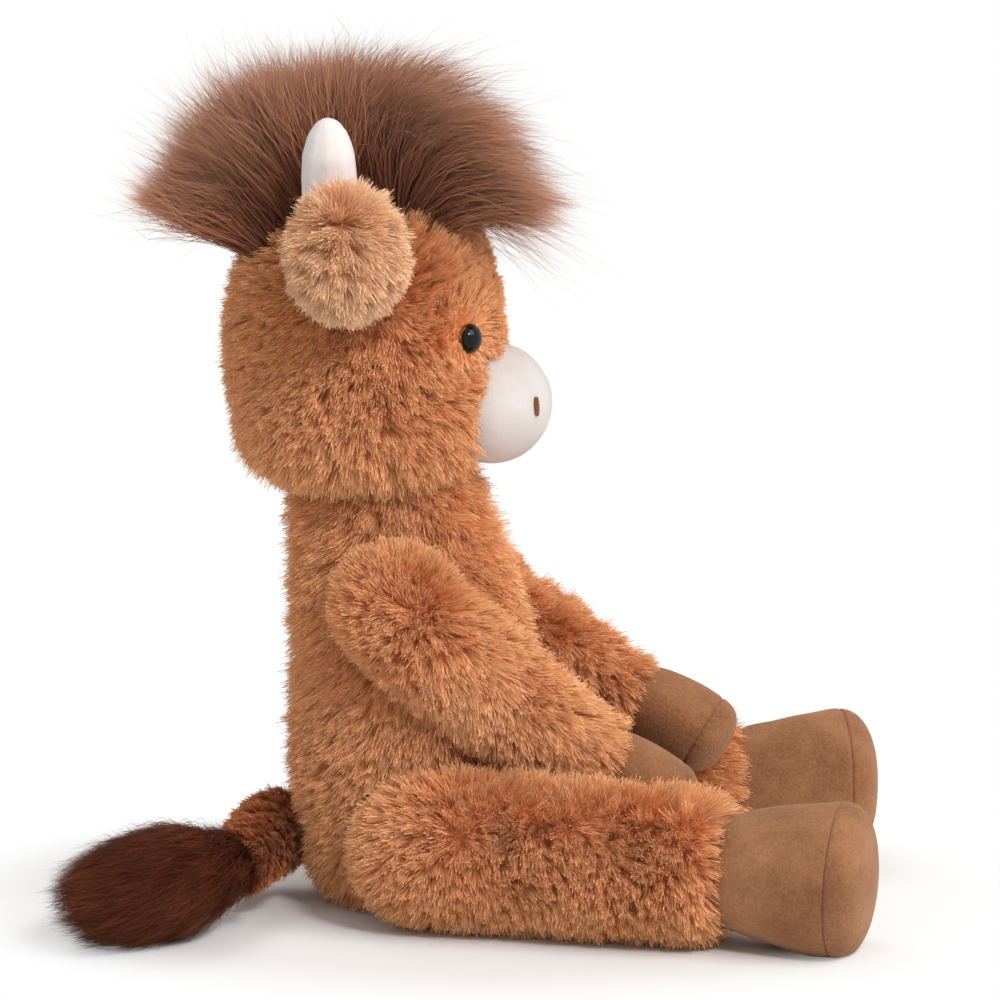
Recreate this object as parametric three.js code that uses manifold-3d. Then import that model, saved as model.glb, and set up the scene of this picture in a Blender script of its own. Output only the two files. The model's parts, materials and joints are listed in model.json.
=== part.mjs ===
// A seated plush cow with long hair. Torso, head, arms, legs and tail are plush covers over fibre
// stuffing and turn on their seams. Millimetres: +X is where it faces, +Y its left, +Z up, and the
// origin is the middle of the seat.
import * as THREE from "three";
import { mergeVertices } from "three/addons/utils/BufferGeometryUtils.js";
import Module from "manifold-3d";

// Cloth and fits
const SEAM_GAP = 0.3; // between pieces that are sewn or seated together
const PLUSH = 10; // brown plush with its pile
const BACKING = 1.5; // the plush's woven ground, without the pile
const VELOUR = 1.6; // smooth cloth of the muzzle
const SUEDE = 1.8; // hoof cloth
const SETTLE = 0.5; // how far the legs flatten on the surface below
const SEAT_WALL = 4; // pressed plush under the seat

// Torso
const BELLY_HALF_LENGTH = 47;
const BELLY_HALF_WIDTH = 50;
const BELLY_HEIGHT = 52; // of the widest part
const SEAT_SINK = 6; // how far the round form would reach below the flat seat
const SEAT_FULLNESS = 3;
const NECK_RADIUS = 34;
const NECK_HEIGHT = 157;
const SHOULDER_FULLNESS = 2.7;
const NECK_OPENING_RADIUS = 15;
const PELLET_BAG_HALF_LENGTH = 25;
const PELLET_BAG_HALF_WIDTH = 28;
const PELLET_BAG_HEIGHT = 24;
const CLOSING_SEAM_LENGTH = 52;
const CLOSING_SEAM_HEIGHT = 92; // of its middle
const CLOSING_SEAM_WIDTH = 4;
const CLOSING_STITCHES = 9;
const CLOSING_THREAD = 1.2;

// Head
const HEAD_HALF_LENGTH = 53.5;
const HEAD_HALF_WIDTH = 57;
const HEAD_HALF_HEIGHT = 56;
const HEAD_FULLNESS = 2.5;
const HEAD_SET_BACK = 5.5; // of its middle behind the neck's
const HEAD_RISE = 55; // of its middle over the neck's
const NOD_RANGE = 10; // degrees either way
const NOD_MARGIN = 3; // degrees that stay open past the nod
const NECK_THREAD = 1.4;

// Face
const MUZZLE_HALF_LENGTH = 23;
const MUZZLE_HALF_WIDTH = 27;
const MUZZLE_HALF_HEIGHT = 22.5;
const MUZZLE_REACH = 46; // of its middle in front of the head's
const MUZZLE_DROP = 23; // of its middle under the head's
const NOSTRIL_HEIGHT = 8;
const NOSTRIL_WIDTH = 4.4;
const NOSTRIL_YAW = 38; // degrees from straight ahead, seen from the muzzle's middle
const NOSTRIL_PITCH = 4;
const NOSTRIL_PROUD = 0.9;
const EYE_RADIUS = 5.6;
const EYE_DOME = 4.4;
const EYE_YAW = 32; // degrees from straight ahead, seen from the head's middle
const EYE_PITCH = 3.6;
const EYE_DEPTH = 6.5; // of its flange under the pile's tips
const EYE_POCKET_RADIUS = 7;
const EYE_SHANK_RADIUS = 1.9;
const EYE_SHANK_LENGTH = 10;
const WASHER_RADIUS = 6;
const WASHER_THICKNESS = 1.4;

// Ears, horns and mane
const EAR_LENGTH = 46; // outside the head
const EAR_HALF_THICK = 21.5;
const EAR_HALF_TALL = 25;
const EAR_BACK = 2; // of its root behind the head's middle
const EAR_ROOT_HEIGHT = 39; // over the head's middle
const EAR_LIFT = 11; // degrees over level
const EAR_SWELL = [0.62, 0.45]; // shares of its length that its root and tip are rounded over
const EAR_DROOP = 20; // degrees that it can droop from there
const HORN_RADIUS = 10.5;
const HORN_BACK = 10.5; // behind the head's middle
const HORN_SIDE = 28; // of its root from the middle plane
const HORN_SPREAD = 17; // of its tip beyond its root
const HORN_RISE = 89.5; // of its tip over the head's middle
const HORN_ROOT_DEPTH = 12; // how far its form starts inside the head
const HORN_SWELL = [0.2, 0.38];
const MANE_HALF_DEPTH = 28;
const MANE_HALF_WIDTH = 27;
// The mane's middle line from the nape to the forelock's tip, forward of and over the head's middle
const MANE_LINE = [
  [-62, 36],
  [-46.5, 66.5],
  [-18.5, 81],
  [16, 81],
  [46.5, 66.5],
  [80, 52],
];
const MANE_SWELL = [0.4, 0.62];

// Arms and legs, each with its plush sleeve, hoof and sole panel
const ARM = {
  rootRadius: 24,
  middleRadius: 24.5,
  endRadius: 17.5,
  sleeveLength: 104,
  hoofStartRadius: 13.5,
  hoofRadius: 15.5,
  hoofLength: 26,
  soleDepth: 11,
};
const SHOULDER_X = -5;
const SHOULDER_HEIGHT = 121;
const SHOULDER_SINK = 22; // how deep the round shoulder sits in the torso
const ARM_DROP = { left: 29.5, right: 37.5 }; // degrees under level; the right hand lies in the lap
const ARM_INWARD = { left: 9, right: 18.5 }; // degrees towards the middle
const ARM_LOWERING = [-0.35, 0.7, -0.5]; // axis about which the left arm comes down
const ARM_PASSING = 20; // degrees of its swing in which it passes close to the torso
const ARM_LIFT = 90; // degrees of its whole swing
const LEG = {
  rootRadius: 31,
  middleRadius: 28.8,
  endRadius: 29,
  sleeveLength: 115,
  hoofStartRadius: 21,
  hoofRadius: 28,
  hoofLength: 40,
  soleDepth: 13.5,
};
const HIP_X = 7;
const HIP_PATCH = 2; // how deep the torso's side is pressed flat by the leg
const LEG_SPLAY = 11; // degrees outwards
const SOLE_FULLNESS = 2.6;

// Tail, laid to the right on the surface below
const TAIL_ROOT_HEIGHT = 24;
const TAIL_ROOT_RADIUS = 17;
const TAIL_END_RADIUS = 13;
const TAIL_SINK = 11; // how deep its round root sits in the torso
const TAIL_STEM_LENGTH = 44;
const TAIL_DROP = 5; // degrees under level
const TAIL_YAW = 76; // degrees to the right of straight back
const TAIL_SWING = 100; // degrees towards the left
const TUFT_LENGTH = 84;
const TUFT_RADIUS = 23;
const TUFT_BEND = 20; // degrees towards the back from the stem's way
const TUFT_SWELL = [0.42, 0.7];

// Facets
const SIDES = 20;
const JOINT_SIDES = 28; // of the ball that the head turns on
const LIMB_SIDES = 16;
const SMALL_SIDES = 10;
const INNER_SIDES = 10; // of what stays inside the covers
const RINGS = 9;
const ARC_STEPS = 4;
const INNER_STEPS = 3;
const SWEEP_STEPS = 2; // in which a cover is cut through a joint's swing

const PLUSH_BROWN = { color: 0xb4754a, roughness: 0.95 };
const EAR_TAN = { color: 0xc8946a, roughness: 0.95 };
const MANE_BROWN = { color: 0x5a3423, roughness: 0.85 };
const TUFT_BROWN = { color: 0x43241a, roughness: 0.85 };
const VELOUR_WHITE = { color: 0xede3de, roughness: 0.9 };
const SUEDE_BROWN = { color: 0x9a6b48, roughness: 0.9 };
const EYE_BLACK = { color: 0x0d0908, roughness: 0.08 };
const STITCH_BROWN = { color: 0x8a4f2c, roughness: 0.7 };
const FIBRE_WHITE = { color: 0xf1efea, roughness: 1 };
const BAG_LINEN = { color: 0xd9cfc0, roughness: 0.95 };
const WASHER_WHITE = { color: 0xe6e6e2, roughness: 0.5 };

const wasm = await Module();
wasm.setup();

const radians = THREE.MathUtils.degToRad;
const degrees = THREE.MathUtils.radToDeg;
const range = (count) => Array.from({ length: count + 1 }, (_, i) => i / count);
const STAY = new THREE.Matrix4();

// A closed geometry as a solid, moved by a matrix, with its faces pointing out.
function solidFrom(geometry, matrix = STAY) {
  const bare = geometry.clone().applyMatrix4(matrix);
  bare.deleteAttribute("normal");
  bare.deleteAttribute("uv");
  const merged = mergeVertices(bare);
  const points = merged.attributes.position;
  const [a, b, c] = [new THREE.Vector3(), new THREE.Vector3(), new THREE.Vector3()];
  const corners = [];
  let volume = 0;
  for (let i = 0; i < merged.index.count; i += 3) {
    const face = [0, 1, 2].map((k) => merged.index.getX(i + k));
    if (new Set(face).size < 3) continue;
    corners.push(...face);
    [a, b, c].forEach((corner, k) => corner.fromBufferAttribute(points, face[k]));
    volume += a.dot(b.cross(c));
  }
  if (volume < 0) corners.reverse();
  const mesh = new wasm.Mesh({
    numProp: 3,
    vertProperties: points.array,
    triVerts: new Uint32Array(corners),
  });
  return new wasm.Manifold(mesh);
}

function geometryFrom(solid) {
  const { vertProperties, triVerts } = solid.getMesh();
  const geometry = new THREE.BufferGeometry();
  geometry.setAttribute("position", new THREE.BufferAttribute(vertProperties.slice(), 3));
  geometry.setIndex([...triVerts]);
  geometry.computeVertexNormals();
  return geometry;
}

// Outlines are lists of [along, radius], lathed about X or Z.
const lathe = (outline, sides) =>
  new THREE.LatheGeometry(outline.map(([along, radius]) => new THREE.Vector2(radius, along)), sides);
const lathedAboutX = (outline, sides) => lathe(outline, sides).rotateZ(-Math.PI / 2);
const lathedAboutZ = (outline, sides) => lathe(outline, sides).rotateX(Math.PI / 2);

// An outline moved outwards by grow, square to itself. Points on the axis stay there.
function grownOutline(outline, grow) {
  return outline.map(([along, radius], i) => {
    const [alongBefore, radiusBefore] = outline[Math.max(i - 1, 0)];
    const [alongAfter, radiusAfter] = outline[Math.min(i + 1, outline.length - 1)];
    const [rise, run] = [radiusAfter - radiusBefore, alongAfter - alongBefore];
    const length = Math.hypot(rise, run);
    return [along - (grow * rise) / length, radius && radius + (grow * run) / length];
  });
}

// A quarter of a superellipse: 0 is on the axis at the far end, 1 at the full radius.
function quarter(share, fullness) {
  const angle = (share * Math.PI) / 2;
  return [Math.max(Math.cos(angle), 0) ** (2 / fullness), Math.sin(angle) ** (2 / fullness)];
}

// A ball that is stretched to three half sizes.
function ovalSolid(centre, halfSizes, sides) {
  const geometry = new THREE.SphereGeometry(1, sides, sides / 2).rotateX(Math.PI / 2).scale(...halfSizes);
  return solidFrom(geometry, new THREE.Matrix4().setPosition(centre));
}

const ball = (centre, radius, sides = LIMB_SIDES) => ovalSolid(centre, [radius, radius, radius], sides);

// The radius of a faceted hollow in which a faceted ball turns freely.
const socketRadius = (radius, sides = LIMB_SIDES) => (radius + SEAM_GAP) / Math.cos(Math.PI / sides) ** 2;

const sidesFor = (grow) => (grow < 0 ? INNER_SIDES : SIDES);
const stepsFor = (grow) => (grow < 0 ? INNER_STEPS : ARC_STEPS);

const box = (centre, size, matrix = STAY) =>
  solidFrom(new THREE.BoxGeometry(...size), matrix.clone().multiply(new THREE.Matrix4().setPosition(centre)));

// A plump form along a flat curve: halfSizes gives its half thickness along and across the side
// vector at each share of the length, and both ends are round.
function sweptForm(curve, side, halfSizes, grow, sides = SMALL_SIDES) {
  const shares = range(RINGS).slice(1, -1).map((t) => (1 - Math.cos(Math.PI * t)) / 2);
  const tips = [0, 1].map((t) => {
    const outwards = curve.getTangentAt(t).multiplyScalar(t ? grow : -grow);
    return curve.getPointAt(t).add(outwards);
  });
  const points = [tips[0]];
  for (const t of shares) {
    const [deep, wide] = halfSizes(t);
    const across = side.clone().cross(curve.getTangentAt(t)).normalize();
    for (let i = 0; i < sides; i++) {
      const angle = (2 * Math.PI * i) / sides;
      const point = curve.getPointAt(t);
      point.addScaledVector(across, (deep + grow) * Math.cos(angle));
      points.push(point.addScaledVector(side, (wide + grow) * Math.sin(angle)));
    }
  }
  points.push(tips[1]);
  const corner = (ring, i) => 1 + ring * sides + (i % sides);
  const index = [];
  for (let i = 0; i < sides; i++) {
    index.push(0, corner(0, i + 1), corner(0, i));
    for (let ring = 0; ring + 1 < shares.length; ring++) {
      const [a, b] = [corner(ring, i), corner(ring, i + 1)];
      const [c, d] = [corner(ring + 1, i), corner(ring + 1, i + 1)];
      index.push(a, b, d, a, d, c);
    }
    index.push(points.length - 1, corner(shares.length - 1, i), corner(shares.length - 1, i + 1));
  }
  return new THREE.BufferGeometry().setFromPoints(points).setIndex(index);
}

// Half sizes that rise from a round end over one share of the length and fall over another.
function plump(rise, fall) {
  const bulge = (share) => Math.sqrt(1 - (1 - Math.min(share, 1)) ** 2);
  return (t) => bulge(t / rise) * bulge((1 - t) / fall);
}

// A frame at a point with +X along a direction, turned upright.
function facing(point, direction) {
  const sideways = new THREE.Vector3(0, 0, 1).cross(direction).normalize();
  const upright = direction.clone().cross(sideways);
  return new THREE.Matrix4().makeBasis(direction, sideways, upright).setPosition(point);
}

function turnAbout(point, axis, angle) {
  const turn = new THREE.Matrix4().makeRotationAxis(axis.clone().normalize(), radians(angle));
  const back = new THREE.Matrix4().makeTranslation(-point.x, -point.y, -point.z);
  return new THREE.Matrix4().setPosition(point).multiply(turn).multiply(back);
}

const toy = new THREE.Group();

// A group at a joint, in the toy or nested in another group.
function jointGroup(parent, position, rotation = new THREE.Euler()) {
  const group = new THREE.Group();
  group.position.copy(position);
  group.rotation.copy(rotation);
  parent.add(group);
  group.updateWorldMatrix(true, false);
  return group;
}

// Adds a solid that is given in the toy's frame to a group as a named piece.
function addPiece(group, name, solid, finish) {
  const geometry = geometryFrom(solid).applyMatrix4(group.matrixWorld.clone().invert());
  const mesh = new THREE.Mesh(geometry, new THREE.MeshStandardMaterial({ metalness: 0, ...finish }));
  mesh.name = name;
  group.add(mesh);
}

const SIDE_NAMES = [
  ["left", 1],
  ["right", -1],
];
const SLAB = 1000; // larger than the toy
const belowFloor = box(new THREE.Vector3(0, 0, -SLAB / 2), [SLAB, SLAB, SLAB]);

// Torso form: a pear with a straight back, whose neck is a ball that the head turns on.
function torsoHalfSize(z, belly) {
  const share = THREE.MathUtils.clamp((z - BELLY_HEIGHT) / (NECK_HEIGHT - BELLY_HEIGHT), 0, 1);
  return NECK_RADIUS + (belly - NECK_RADIUS) * (1 - share ** SHOULDER_FULLNESS);
}

const torsoMiddle = (z) => torsoHalfSize(z, BELLY_HALF_LENGTH) - BELLY_HALF_LENGTH;
const neck = new THREE.Vector3(torsoMiddle(NECK_HEIGHT), 0, NECK_HEIGHT);

function torsoForm(grow, matrix = STAY) {
  const seat = range(stepsFor(grow)).map((t) => {
    const [reach, drop] = quarter(1 - t, SEAT_FULLNESS);
    return [BELLY_HEIGHT - (BELLY_HEIGHT + SEAT_SINK) * drop, BELLY_HALF_LENGTH * reach];
  });
  const flank = range(stepsFor(grow)).slice(1).map((t) => {
    const z = BELLY_HEIGHT + (NECK_HEIGHT - BELLY_HEIGHT) * t;
    return [z, torsoHalfSize(z, BELLY_HALF_LENGTH)];
  });
  seat[0][1] = 0;
  const outline = grownOutline([...seat, ...flank, [NECK_HEIGHT, 0]], grow);
  const geometry = lathedAboutZ(outline, sidesFor(grow));
  const points = geometry.attributes.position;
  for (let i = 0; i < points.count; i++) {
    const z = points.getZ(i);
    const widen = torsoHalfSize(z, BELLY_HALF_WIDTH) / torsoHalfSize(z, BELLY_HALF_LENGTH);
    points.setX(i, points.getX(i) + torsoMiddle(z));
    points.setY(i, points.getY(i) * widen);
  }
  const sides = grow < 0 ? INNER_SIDES : JOINT_SIDES;
  const neckBall = new THREE.SphereGeometry(NECK_RADIUS + grow, sides, sides / 2).rotateX(Math.PI / 2);
  const atNeck = matrix.clone().multiply(new THREE.Matrix4().setPosition(neck));
  return solidFrom(geometry, matrix).add(solidFrom(neckBall, atNeck));
}

// Head form: a full, slightly squared ball.
const head = new THREE.Vector3(neck.x - HEAD_SET_BACK, 0, neck.z + HEAD_RISE);

function headForm(grow, matrix = STAY) {
  const outline = range(2 * stepsFor(grow) + 2).map((t) => {
    const [reach, rise] = quarter(Math.abs(2 * t - 1), HEAD_FULLNESS);
    return [HEAD_HALF_HEIGHT * rise * Math.sign(t - 0.5), HEAD_HALF_LENGTH * reach];
  });
  outline[0][1] = outline[outline.length - 1][1] = 0;
  const widen = HEAD_HALF_WIDTH / HEAD_HALF_LENGTH;
  const geometry = lathedAboutZ(grownOutline(outline, grow), sidesFor(grow)).scale(1, widen, 1);
  return solidFrom(geometry, matrix.clone().multiply(new THREE.Matrix4().setPosition(head)));
}

// A point on the head's surface, depth under it, and the way out of it there.
function onHead(yaw, pitch, depth) {
  const round = 2 / HEAD_FULLNESS;
  const power = (value) => Math.sign(value) * Math.abs(value) ** round;
  const at = (y, p, d) =>
    new THREE.Vector3(
      (HEAD_HALF_LENGTH - d) * power(Math.cos(p)) * Math.cos(y),
      (HEAD_HALF_WIDTH - d) * power(Math.cos(p)) * Math.sin(y),
      (HEAD_HALF_HEIGHT - d) * power(Math.sin(p)),
    ).add(head);
  const [y, p, step] = [radians(yaw), radians(pitch), 1e-3];
  const here = at(y, p, depth);
  const along = at(y + step, p, depth).sub(here);
  const up = at(y, p + step, depth).sub(here);
  return { point: here, outwards: along.cross(up).normalize() };
}

// The way the neck ball and its gathered crease cut into the head, a gap clear and open past the nod.
function neckHollow(gap) {
  const radius = socketRadius(NECK_RADIUS, JOINT_SIDES) + gap;
  const crease = radians(NOD_RANGE + NOD_MARGIN);
  const outside = 2 * HEAD_HALF_LENGTH;
  const dome = range(JOINT_SIDES / 4).map((t) => {
    const angle = crease + (Math.PI / 2 - crease) * t;
    return [radius * Math.sin(angle), radius * Math.cos(angle)];
  });
  dome[dome.length - 1][1] = 0;
  const outline = [[-outside, 0], [-outside, outside], [outside * Math.tan(crease), outside], ...dome];
  return solidFrom(lathedAboutZ(outline, JOINT_SIDES), new THREE.Matrix4().setPosition(neck));
}

// Muzzle form: a smooth dome set into the face.
const muzzle = new THREE.Vector3(head.x + MUZZLE_REACH, 0, head.z - MUZZLE_DROP);
const muzzleHalfSizes = [MUZZLE_HALF_LENGTH, MUZZLE_HALF_WIDTH, MUZZLE_HALF_HEIGHT];

const muzzleForm = (grow) => ovalSolid(muzzle, muzzleHalfSizes.map((half) => half + grow), sidesFor(grow));

// Limb outlines along the limb from its joint, at X = 0.
function sleeveRadius(limb, t) {
  const { rootRadius, middleRadius, endRadius } = limb;
  return (
    rootRadius * (1 - t) * (1 - 2 * t) + middleRadius * 4 * t * (1 - t) + endRadius * t * (2 * t - 1)
  );
}

function sleeveOutline(limb, grow) {
  const cap = range(stepsFor(grow)).map((t) => {
    const [reach, back] = quarter(1 - t, 2);
    return [-(limb.rootRadius + grow) * back, (limb.rootRadius + grow) * reach];
  });
  cap[0][1] = 0;
  const shares = range(stepsFor(grow)).slice(1);
  return [...cap, ...shares.map((t) => [limb.sleeveLength * t, sleeveRadius(limb, t) + grow])];
}

const hoofStart = (limb) => limb.sleeveLength + SEAM_GAP;
const soleStart = (limb) => limb.sleeveLength + limb.hoofLength;

function hoofOutline(limb, grow) {
  const flare = limb.hoofRadius - limb.hoofStartRadius;
  return range(INNER_STEPS).map((t) => [
    hoofStart(limb) + (soleStart(limb) - hoofStart(limb)) * t,
    limb.hoofStartRadius + flare * Math.sin((t * Math.PI) / 2) + grow,
  ]);
}

function soleOutline(limb, grow) {
  const outline = range(stepsFor(grow)).map((t) => {
    const [reach, rise] = quarter(t, SOLE_FULLNESS);
    const depth = limb.soleDepth - SEAM_GAP + grow;
    return [soleStart(limb) + SEAM_GAP + depth * rise, (limb.hoofRadius + grow) * reach];
  });
  outline[outline.length - 1][1] = 0;
  return outline;
}

// What a limb's sleeve, hoof and sole enclose, a gap clear of them.
function insideOutline(limb, gap) {
  const mouth = Math.min(limb.endRadius - PLUSH, limb.hoofStartRadius - SUEDE) - gap;
  return [
    ...sleeveOutline(limb, -PLUSH - gap).slice(0, -1),
    [limb.sleeveLength, mouth],
    ...hoofOutline(limb, -SUEDE - gap),
    ...soleOutline(limb, -SUEDE - gap).slice(1),
  ];
}

// The solids of a limb in the toy's frame, before its neighbours cut it.
function limbSolids(limb, matrix) {
  const turned = (outline, sides = LIMB_SIDES) => solidFrom(lathedAboutX(outline, sides), matrix);
  const inside = turned(insideOutline(limb, 0), INNER_SIDES);
  const sleeve = (grow) => [...sleeveOutline(limb, grow), [limb.sleeveLength + grow, 0]];
  const hoof = (grow) => [[hoofStart(limb), 0], ...hoofOutline(limb, grow), [soleStart(limb), 0]];
  const sole = (grow) => [[soleStart(limb) + SEAM_GAP, 0], ...soleOutline(limb, grow)];
  return {
    sleeve: turned(sleeve(0)).subtract(inside),
    hoof: turned(hoof(0)).subtract(inside),
    sole: turned(sole(0)).subtract(inside),
    stuffing: turned(insideOutline(limb, SEAM_GAP), INNER_SIDES),
    outside: (grow) => [sleeve(grow), hoof(grow), sole(grow)].map((outline) => turned(outline)),
  };
}

// Legs: each hangs on a flat patch of the torso's side and swings about a level axis there.
const hipSide = BELLY_HALF_WIDTH - HIP_PATCH;
const hipHeight = LEG.rootRadius - SETTLE;
const soleHeight = LEG.hoofRadius - SETTLE;
const legDrop = degrees(Math.asin((hipHeight - soleHeight) / soleStart(LEG)));
const legs = SIDE_NAMES.map(([name, side]) => {
  const turn = new THREE.Euler(0, radians(legDrop), side * radians(LEG_SPLAY), "ZYX");
  const hip = new THREE.Vector3(HIP_X, side * (hipSide + SEAM_GAP), hipHeight);
  const group = jointGroup(toy, hip, turn);
  return { name, side, hip, group, solids: limbSolids(LEG, group.matrixWorld) };
});

// Arms: each is round at the shoulder and sits in a hollow of the torso's side.
const shoulderSide = torsoHalfSize(SHOULDER_HEIGHT, BELLY_HALF_WIDTH) + ARM.rootRadius - SHOULDER_SINK;
const arms = SIDE_NAMES.map(([name, side]) => {
  const turn = new THREE.Euler(0, radians(ARM_DROP[name]), -side * radians(ARM_INWARD[name]), "ZYX");
  const shoulder = new THREE.Vector3(SHOULDER_X, side * shoulderSide, SHOULDER_HEIGHT);
  const group = jointGroup(toy, shoulder, turn);
  return { name, side, shoulder, group, solids: limbSolids(ARM, group.matrixWorld) };
});

// Tail: a stem that is round at its root, and a long-haired tuft on the surface below.
const tailBack = BELLY_HALF_LENGTH + TAIL_ROOT_RADIUS - TAIL_SINK;
const tailRoot = new THREE.Vector3(-tailBack, 0, TAIL_ROOT_HEIGHT);
const tailGroup = jointGroup(toy, tailRoot, new THREE.Euler(0, 0, radians(TAIL_YAW - 180), "ZYX"));
const stemEnd = new THREE.Vector3(
  TAIL_STEM_LENGTH * Math.cos(radians(TAIL_DROP)),
  0,
  -TAIL_STEM_LENGTH * Math.sin(radians(TAIL_DROP)),
);

// Torso pieces
const torsoHollow = torsoForm(-PLUSH).subtract(
  box(new THREE.Vector3(0, 0, SEAT_WALL - SLAB / 2), [SLAB, SLAB, SLAB]),
);
const hipPatches = legs.map(({ side }) =>
  box(new THREE.Vector3(0, side * (hipSide + SLAB / 2), 0), [SLAB, SLAB, SLAB]),
);
const shoulderSocket = (shoulder, gap) => ball(shoulder, socketRadius(ARM.rootRadius) + gap);
const tailSocket = (gap) => ball(tailRoot, socketRadius(TAIL_ROOT_RADIUS) + gap);
const torsoSockets = (gap) => [...arms.map(({ shoulder }) => shoulderSocket(shoulder, gap)), tailSocket(gap)];
const cutAll = (solid, cutters) => cutters.reduce((left, cutter) => left.subtract(cutter), solid);

const seamMiddle = new THREE.Vector3(-BELLY_HALF_LENGTH, 0, CLOSING_SEAM_HEIGHT);
const seamSlot = box(seamMiddle, [4 * PLUSH, CLOSING_SEAM_WIDTH, CLOSING_SEAM_LENGTH]);
const neckOpening = solidFrom(
  new THREE.CylinderGeometry(NECK_OPENING_RADIUS, NECK_OPENING_RADIUS, 2 * NECK_RADIUS, SIDES)
    .rotateX(Math.PI / 2)
    .translate(0, 0, NECK_RADIUS),
  new THREE.Matrix4().setPosition(neck),
);
const torsoCutters = [belowFloor, ...hipPatches, ...torsoSockets(0)];
const torsoGroup = jointGroup(toy, new THREE.Vector3());
addPiece(
  torsoGroup,
  "torso_cover",
  cutAll(torsoForm(0), [...torsoCutters, torsoHollow, seamSlot, neckOpening]),
  PLUSH_BROWN,
);

const bagMiddle = new THREE.Vector3(0, 0, SEAT_WALL + PELLET_BAG_HEIGHT / 2);
const bagHalfSizes = [PELLET_BAG_HALF_LENGTH, PELLET_BAG_HALF_WIDTH, PELLET_BAG_HEIGHT / 2];
const bagForm = (grow) => ovalSolid(bagMiddle, bagHalfSizes.map((half) => half + grow), LIMB_SIDES);
const fibreFloor = box(new THREE.Vector3(0, 0, SEAT_WALL + SEAM_GAP - SLAB / 2), [SLAB, SLAB, SLAB]);
const fibre = cutAll(torsoForm(-PLUSH - SEAM_GAP), [fibreFloor, ...torsoSockets(SEAM_GAP)]);
addPiece(torsoGroup, "torso_stuffing", fibre.subtract(bagForm(SEAM_GAP)), FIBRE_WHITE);
addPiece(torsoGroup, "pellet_bag", bagForm(0).intersect(fibre), BAG_LINEN);

// A ladder stitch goes to and fro across the closing seam, at the depth of the cloth's ground.
const stitchSwing = CLOSING_SEAM_WIDTH / 2 - SEAM_GAP - CLOSING_THREAD / 2;
const stitchRise = CLOSING_SEAM_LENGTH / 2 - SEAM_GAP - CLOSING_THREAD;
const stitchPath = new THREE.CatmullRomCurve3(
  range(2 * CLOSING_STITCHES).map(
    (t, i) =>
      new THREE.Vector3(
        seamMiddle.x + PLUSH - CLOSING_THREAD,
        (i % 2 ? 1 : -1) * stitchSwing,
        seamMiddle.z + stitchRise * (2 * t - 1),
      ),
  ),
);
const THREAD_SIDES = 5;
const threadSection = new THREE.Shape(
  range(THREAD_SIDES).slice(1).map((t) => {
    const angle = 2 * Math.PI * t;
    return new THREE.Vector2(Math.cos(angle), Math.sin(angle)).multiplyScalar(CLOSING_THREAD / 2);
  }),
);
const stitch = new THREE.ExtrudeGeometry(threadSection, {
  extrudePath: stitchPath,
  steps: 4 * CLOSING_STITCHES,
  bevelEnabled: false,
});
addPiece(torsoGroup, "closing_stitch", solidFrom(stitch), STITCH_BROWN);

// The gathering thread runs round the neck in the crease, just over the shoulders.
const threadRadius = NECK_RADIUS + SEAM_GAP + NECK_THREAD / 2;
const neckGroup = jointGroup(toy, neck);
addPiece(
  neckGroup,
  "neck_thread",
  solidFrom(
    new THREE.TorusGeometry(threadRadius, NECK_THREAD / 2, THREAD_SIDES, 2 * LIMB_SIDES),
    new THREE.Matrix4().setPosition(neck.x, 0, neck.z + NECK_THREAD / 2 + SEAM_GAP),
  ),
  STITCH_BROWN,
);

// Eyes: a domed button on a shank that goes through the cloth into a washer.
const washerTop = -2 * SEAM_GAP - BACKING;
const pocketDepth = 3 * PLUSH;
const eyes = SIDE_NAMES.map(([name, side]) => {
  const { point, outwards } = onHead(side * EYE_YAW, EYE_PITCH, EYE_DEPTH);
  const turned = (outline) => solidFrom(lathedAboutX(outline, SMALL_SIDES), facing(point, outwards));
  const dome = range(ARC_STEPS).map((t) => {
    const [reach, rise] = quarter(t, 2);
    return [EYE_DOME * rise, EYE_RADIUS * reach];
  });
  dome[dome.length - 1][1] = 0;
  const bore = EYE_SHANK_RADIUS + SEAM_GAP;
  const seat = WASHER_RADIUS + SEAM_GAP;
  const washerFoot = washerTop - WASHER_THICKNESS;
  return {
    name,
    eye: turned([
      [-EYE_SHANK_LENGTH, 0],
      [-EYE_SHANK_LENGTH, EYE_SHANK_RADIUS],
      [0, EYE_SHANK_RADIUS],
      ...dome,
    ]),
    washer: turned([
      [washerFoot, bore],
      [washerFoot, WASHER_RADIUS],
      [washerTop, WASHER_RADIUS],
      [washerTop, bore],
      [washerFoot, bore],
    ]),
    pocket: turned([
      [-EYE_SHANK_LENGTH - SEAM_GAP, 0],
      [-EYE_SHANK_LENGTH - SEAM_GAP, bore],
      [washerFoot - SEAM_GAP, bore],
      [washerFoot - SEAM_GAP, seat],
      [-SEAM_GAP - BACKING, seat],
      [-SEAM_GAP - BACKING, bore],
      [-SEAM_GAP, bore],
      [-SEAM_GAP, EYE_POCKET_RADIUS],
      [pocketDepth, EYE_POCKET_RADIUS],
      [pocketDepth, 0],
    ]),
    room: turned([
      [-EYE_SHANK_LENGTH - SEAM_GAP, 0],
      [-EYE_SHANK_LENGTH - SEAM_GAP, bore],
      [washerFoot - SEAM_GAP, bore],
      [washerFoot - SEAM_GAP, seat],
      [pocketDepth, seat],
      [pocketDepth, 0],
    ]),
  };
});

// Ears: puffed leaves on the head's sides, clear of it through their range.
const earRoots = SIDE_NAMES.map(([name, side]) => {
  const pitch = degrees(Math.asin((EAR_ROOT_HEIGHT / HEAD_HALF_HEIGHT) ** (HEAD_FULLNESS / 2)));
  const ring = Math.cos(radians(pitch)) ** (2 / HEAD_FULLNESS);
  const yaw = 90 + degrees(Math.asin(EAR_BACK / (HEAD_HALF_LENGTH * ring)));
  return { name, side, ...onHead(side * yaw, pitch, 0) };
});
const earSwell = plump(...EAR_SWELL);

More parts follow.
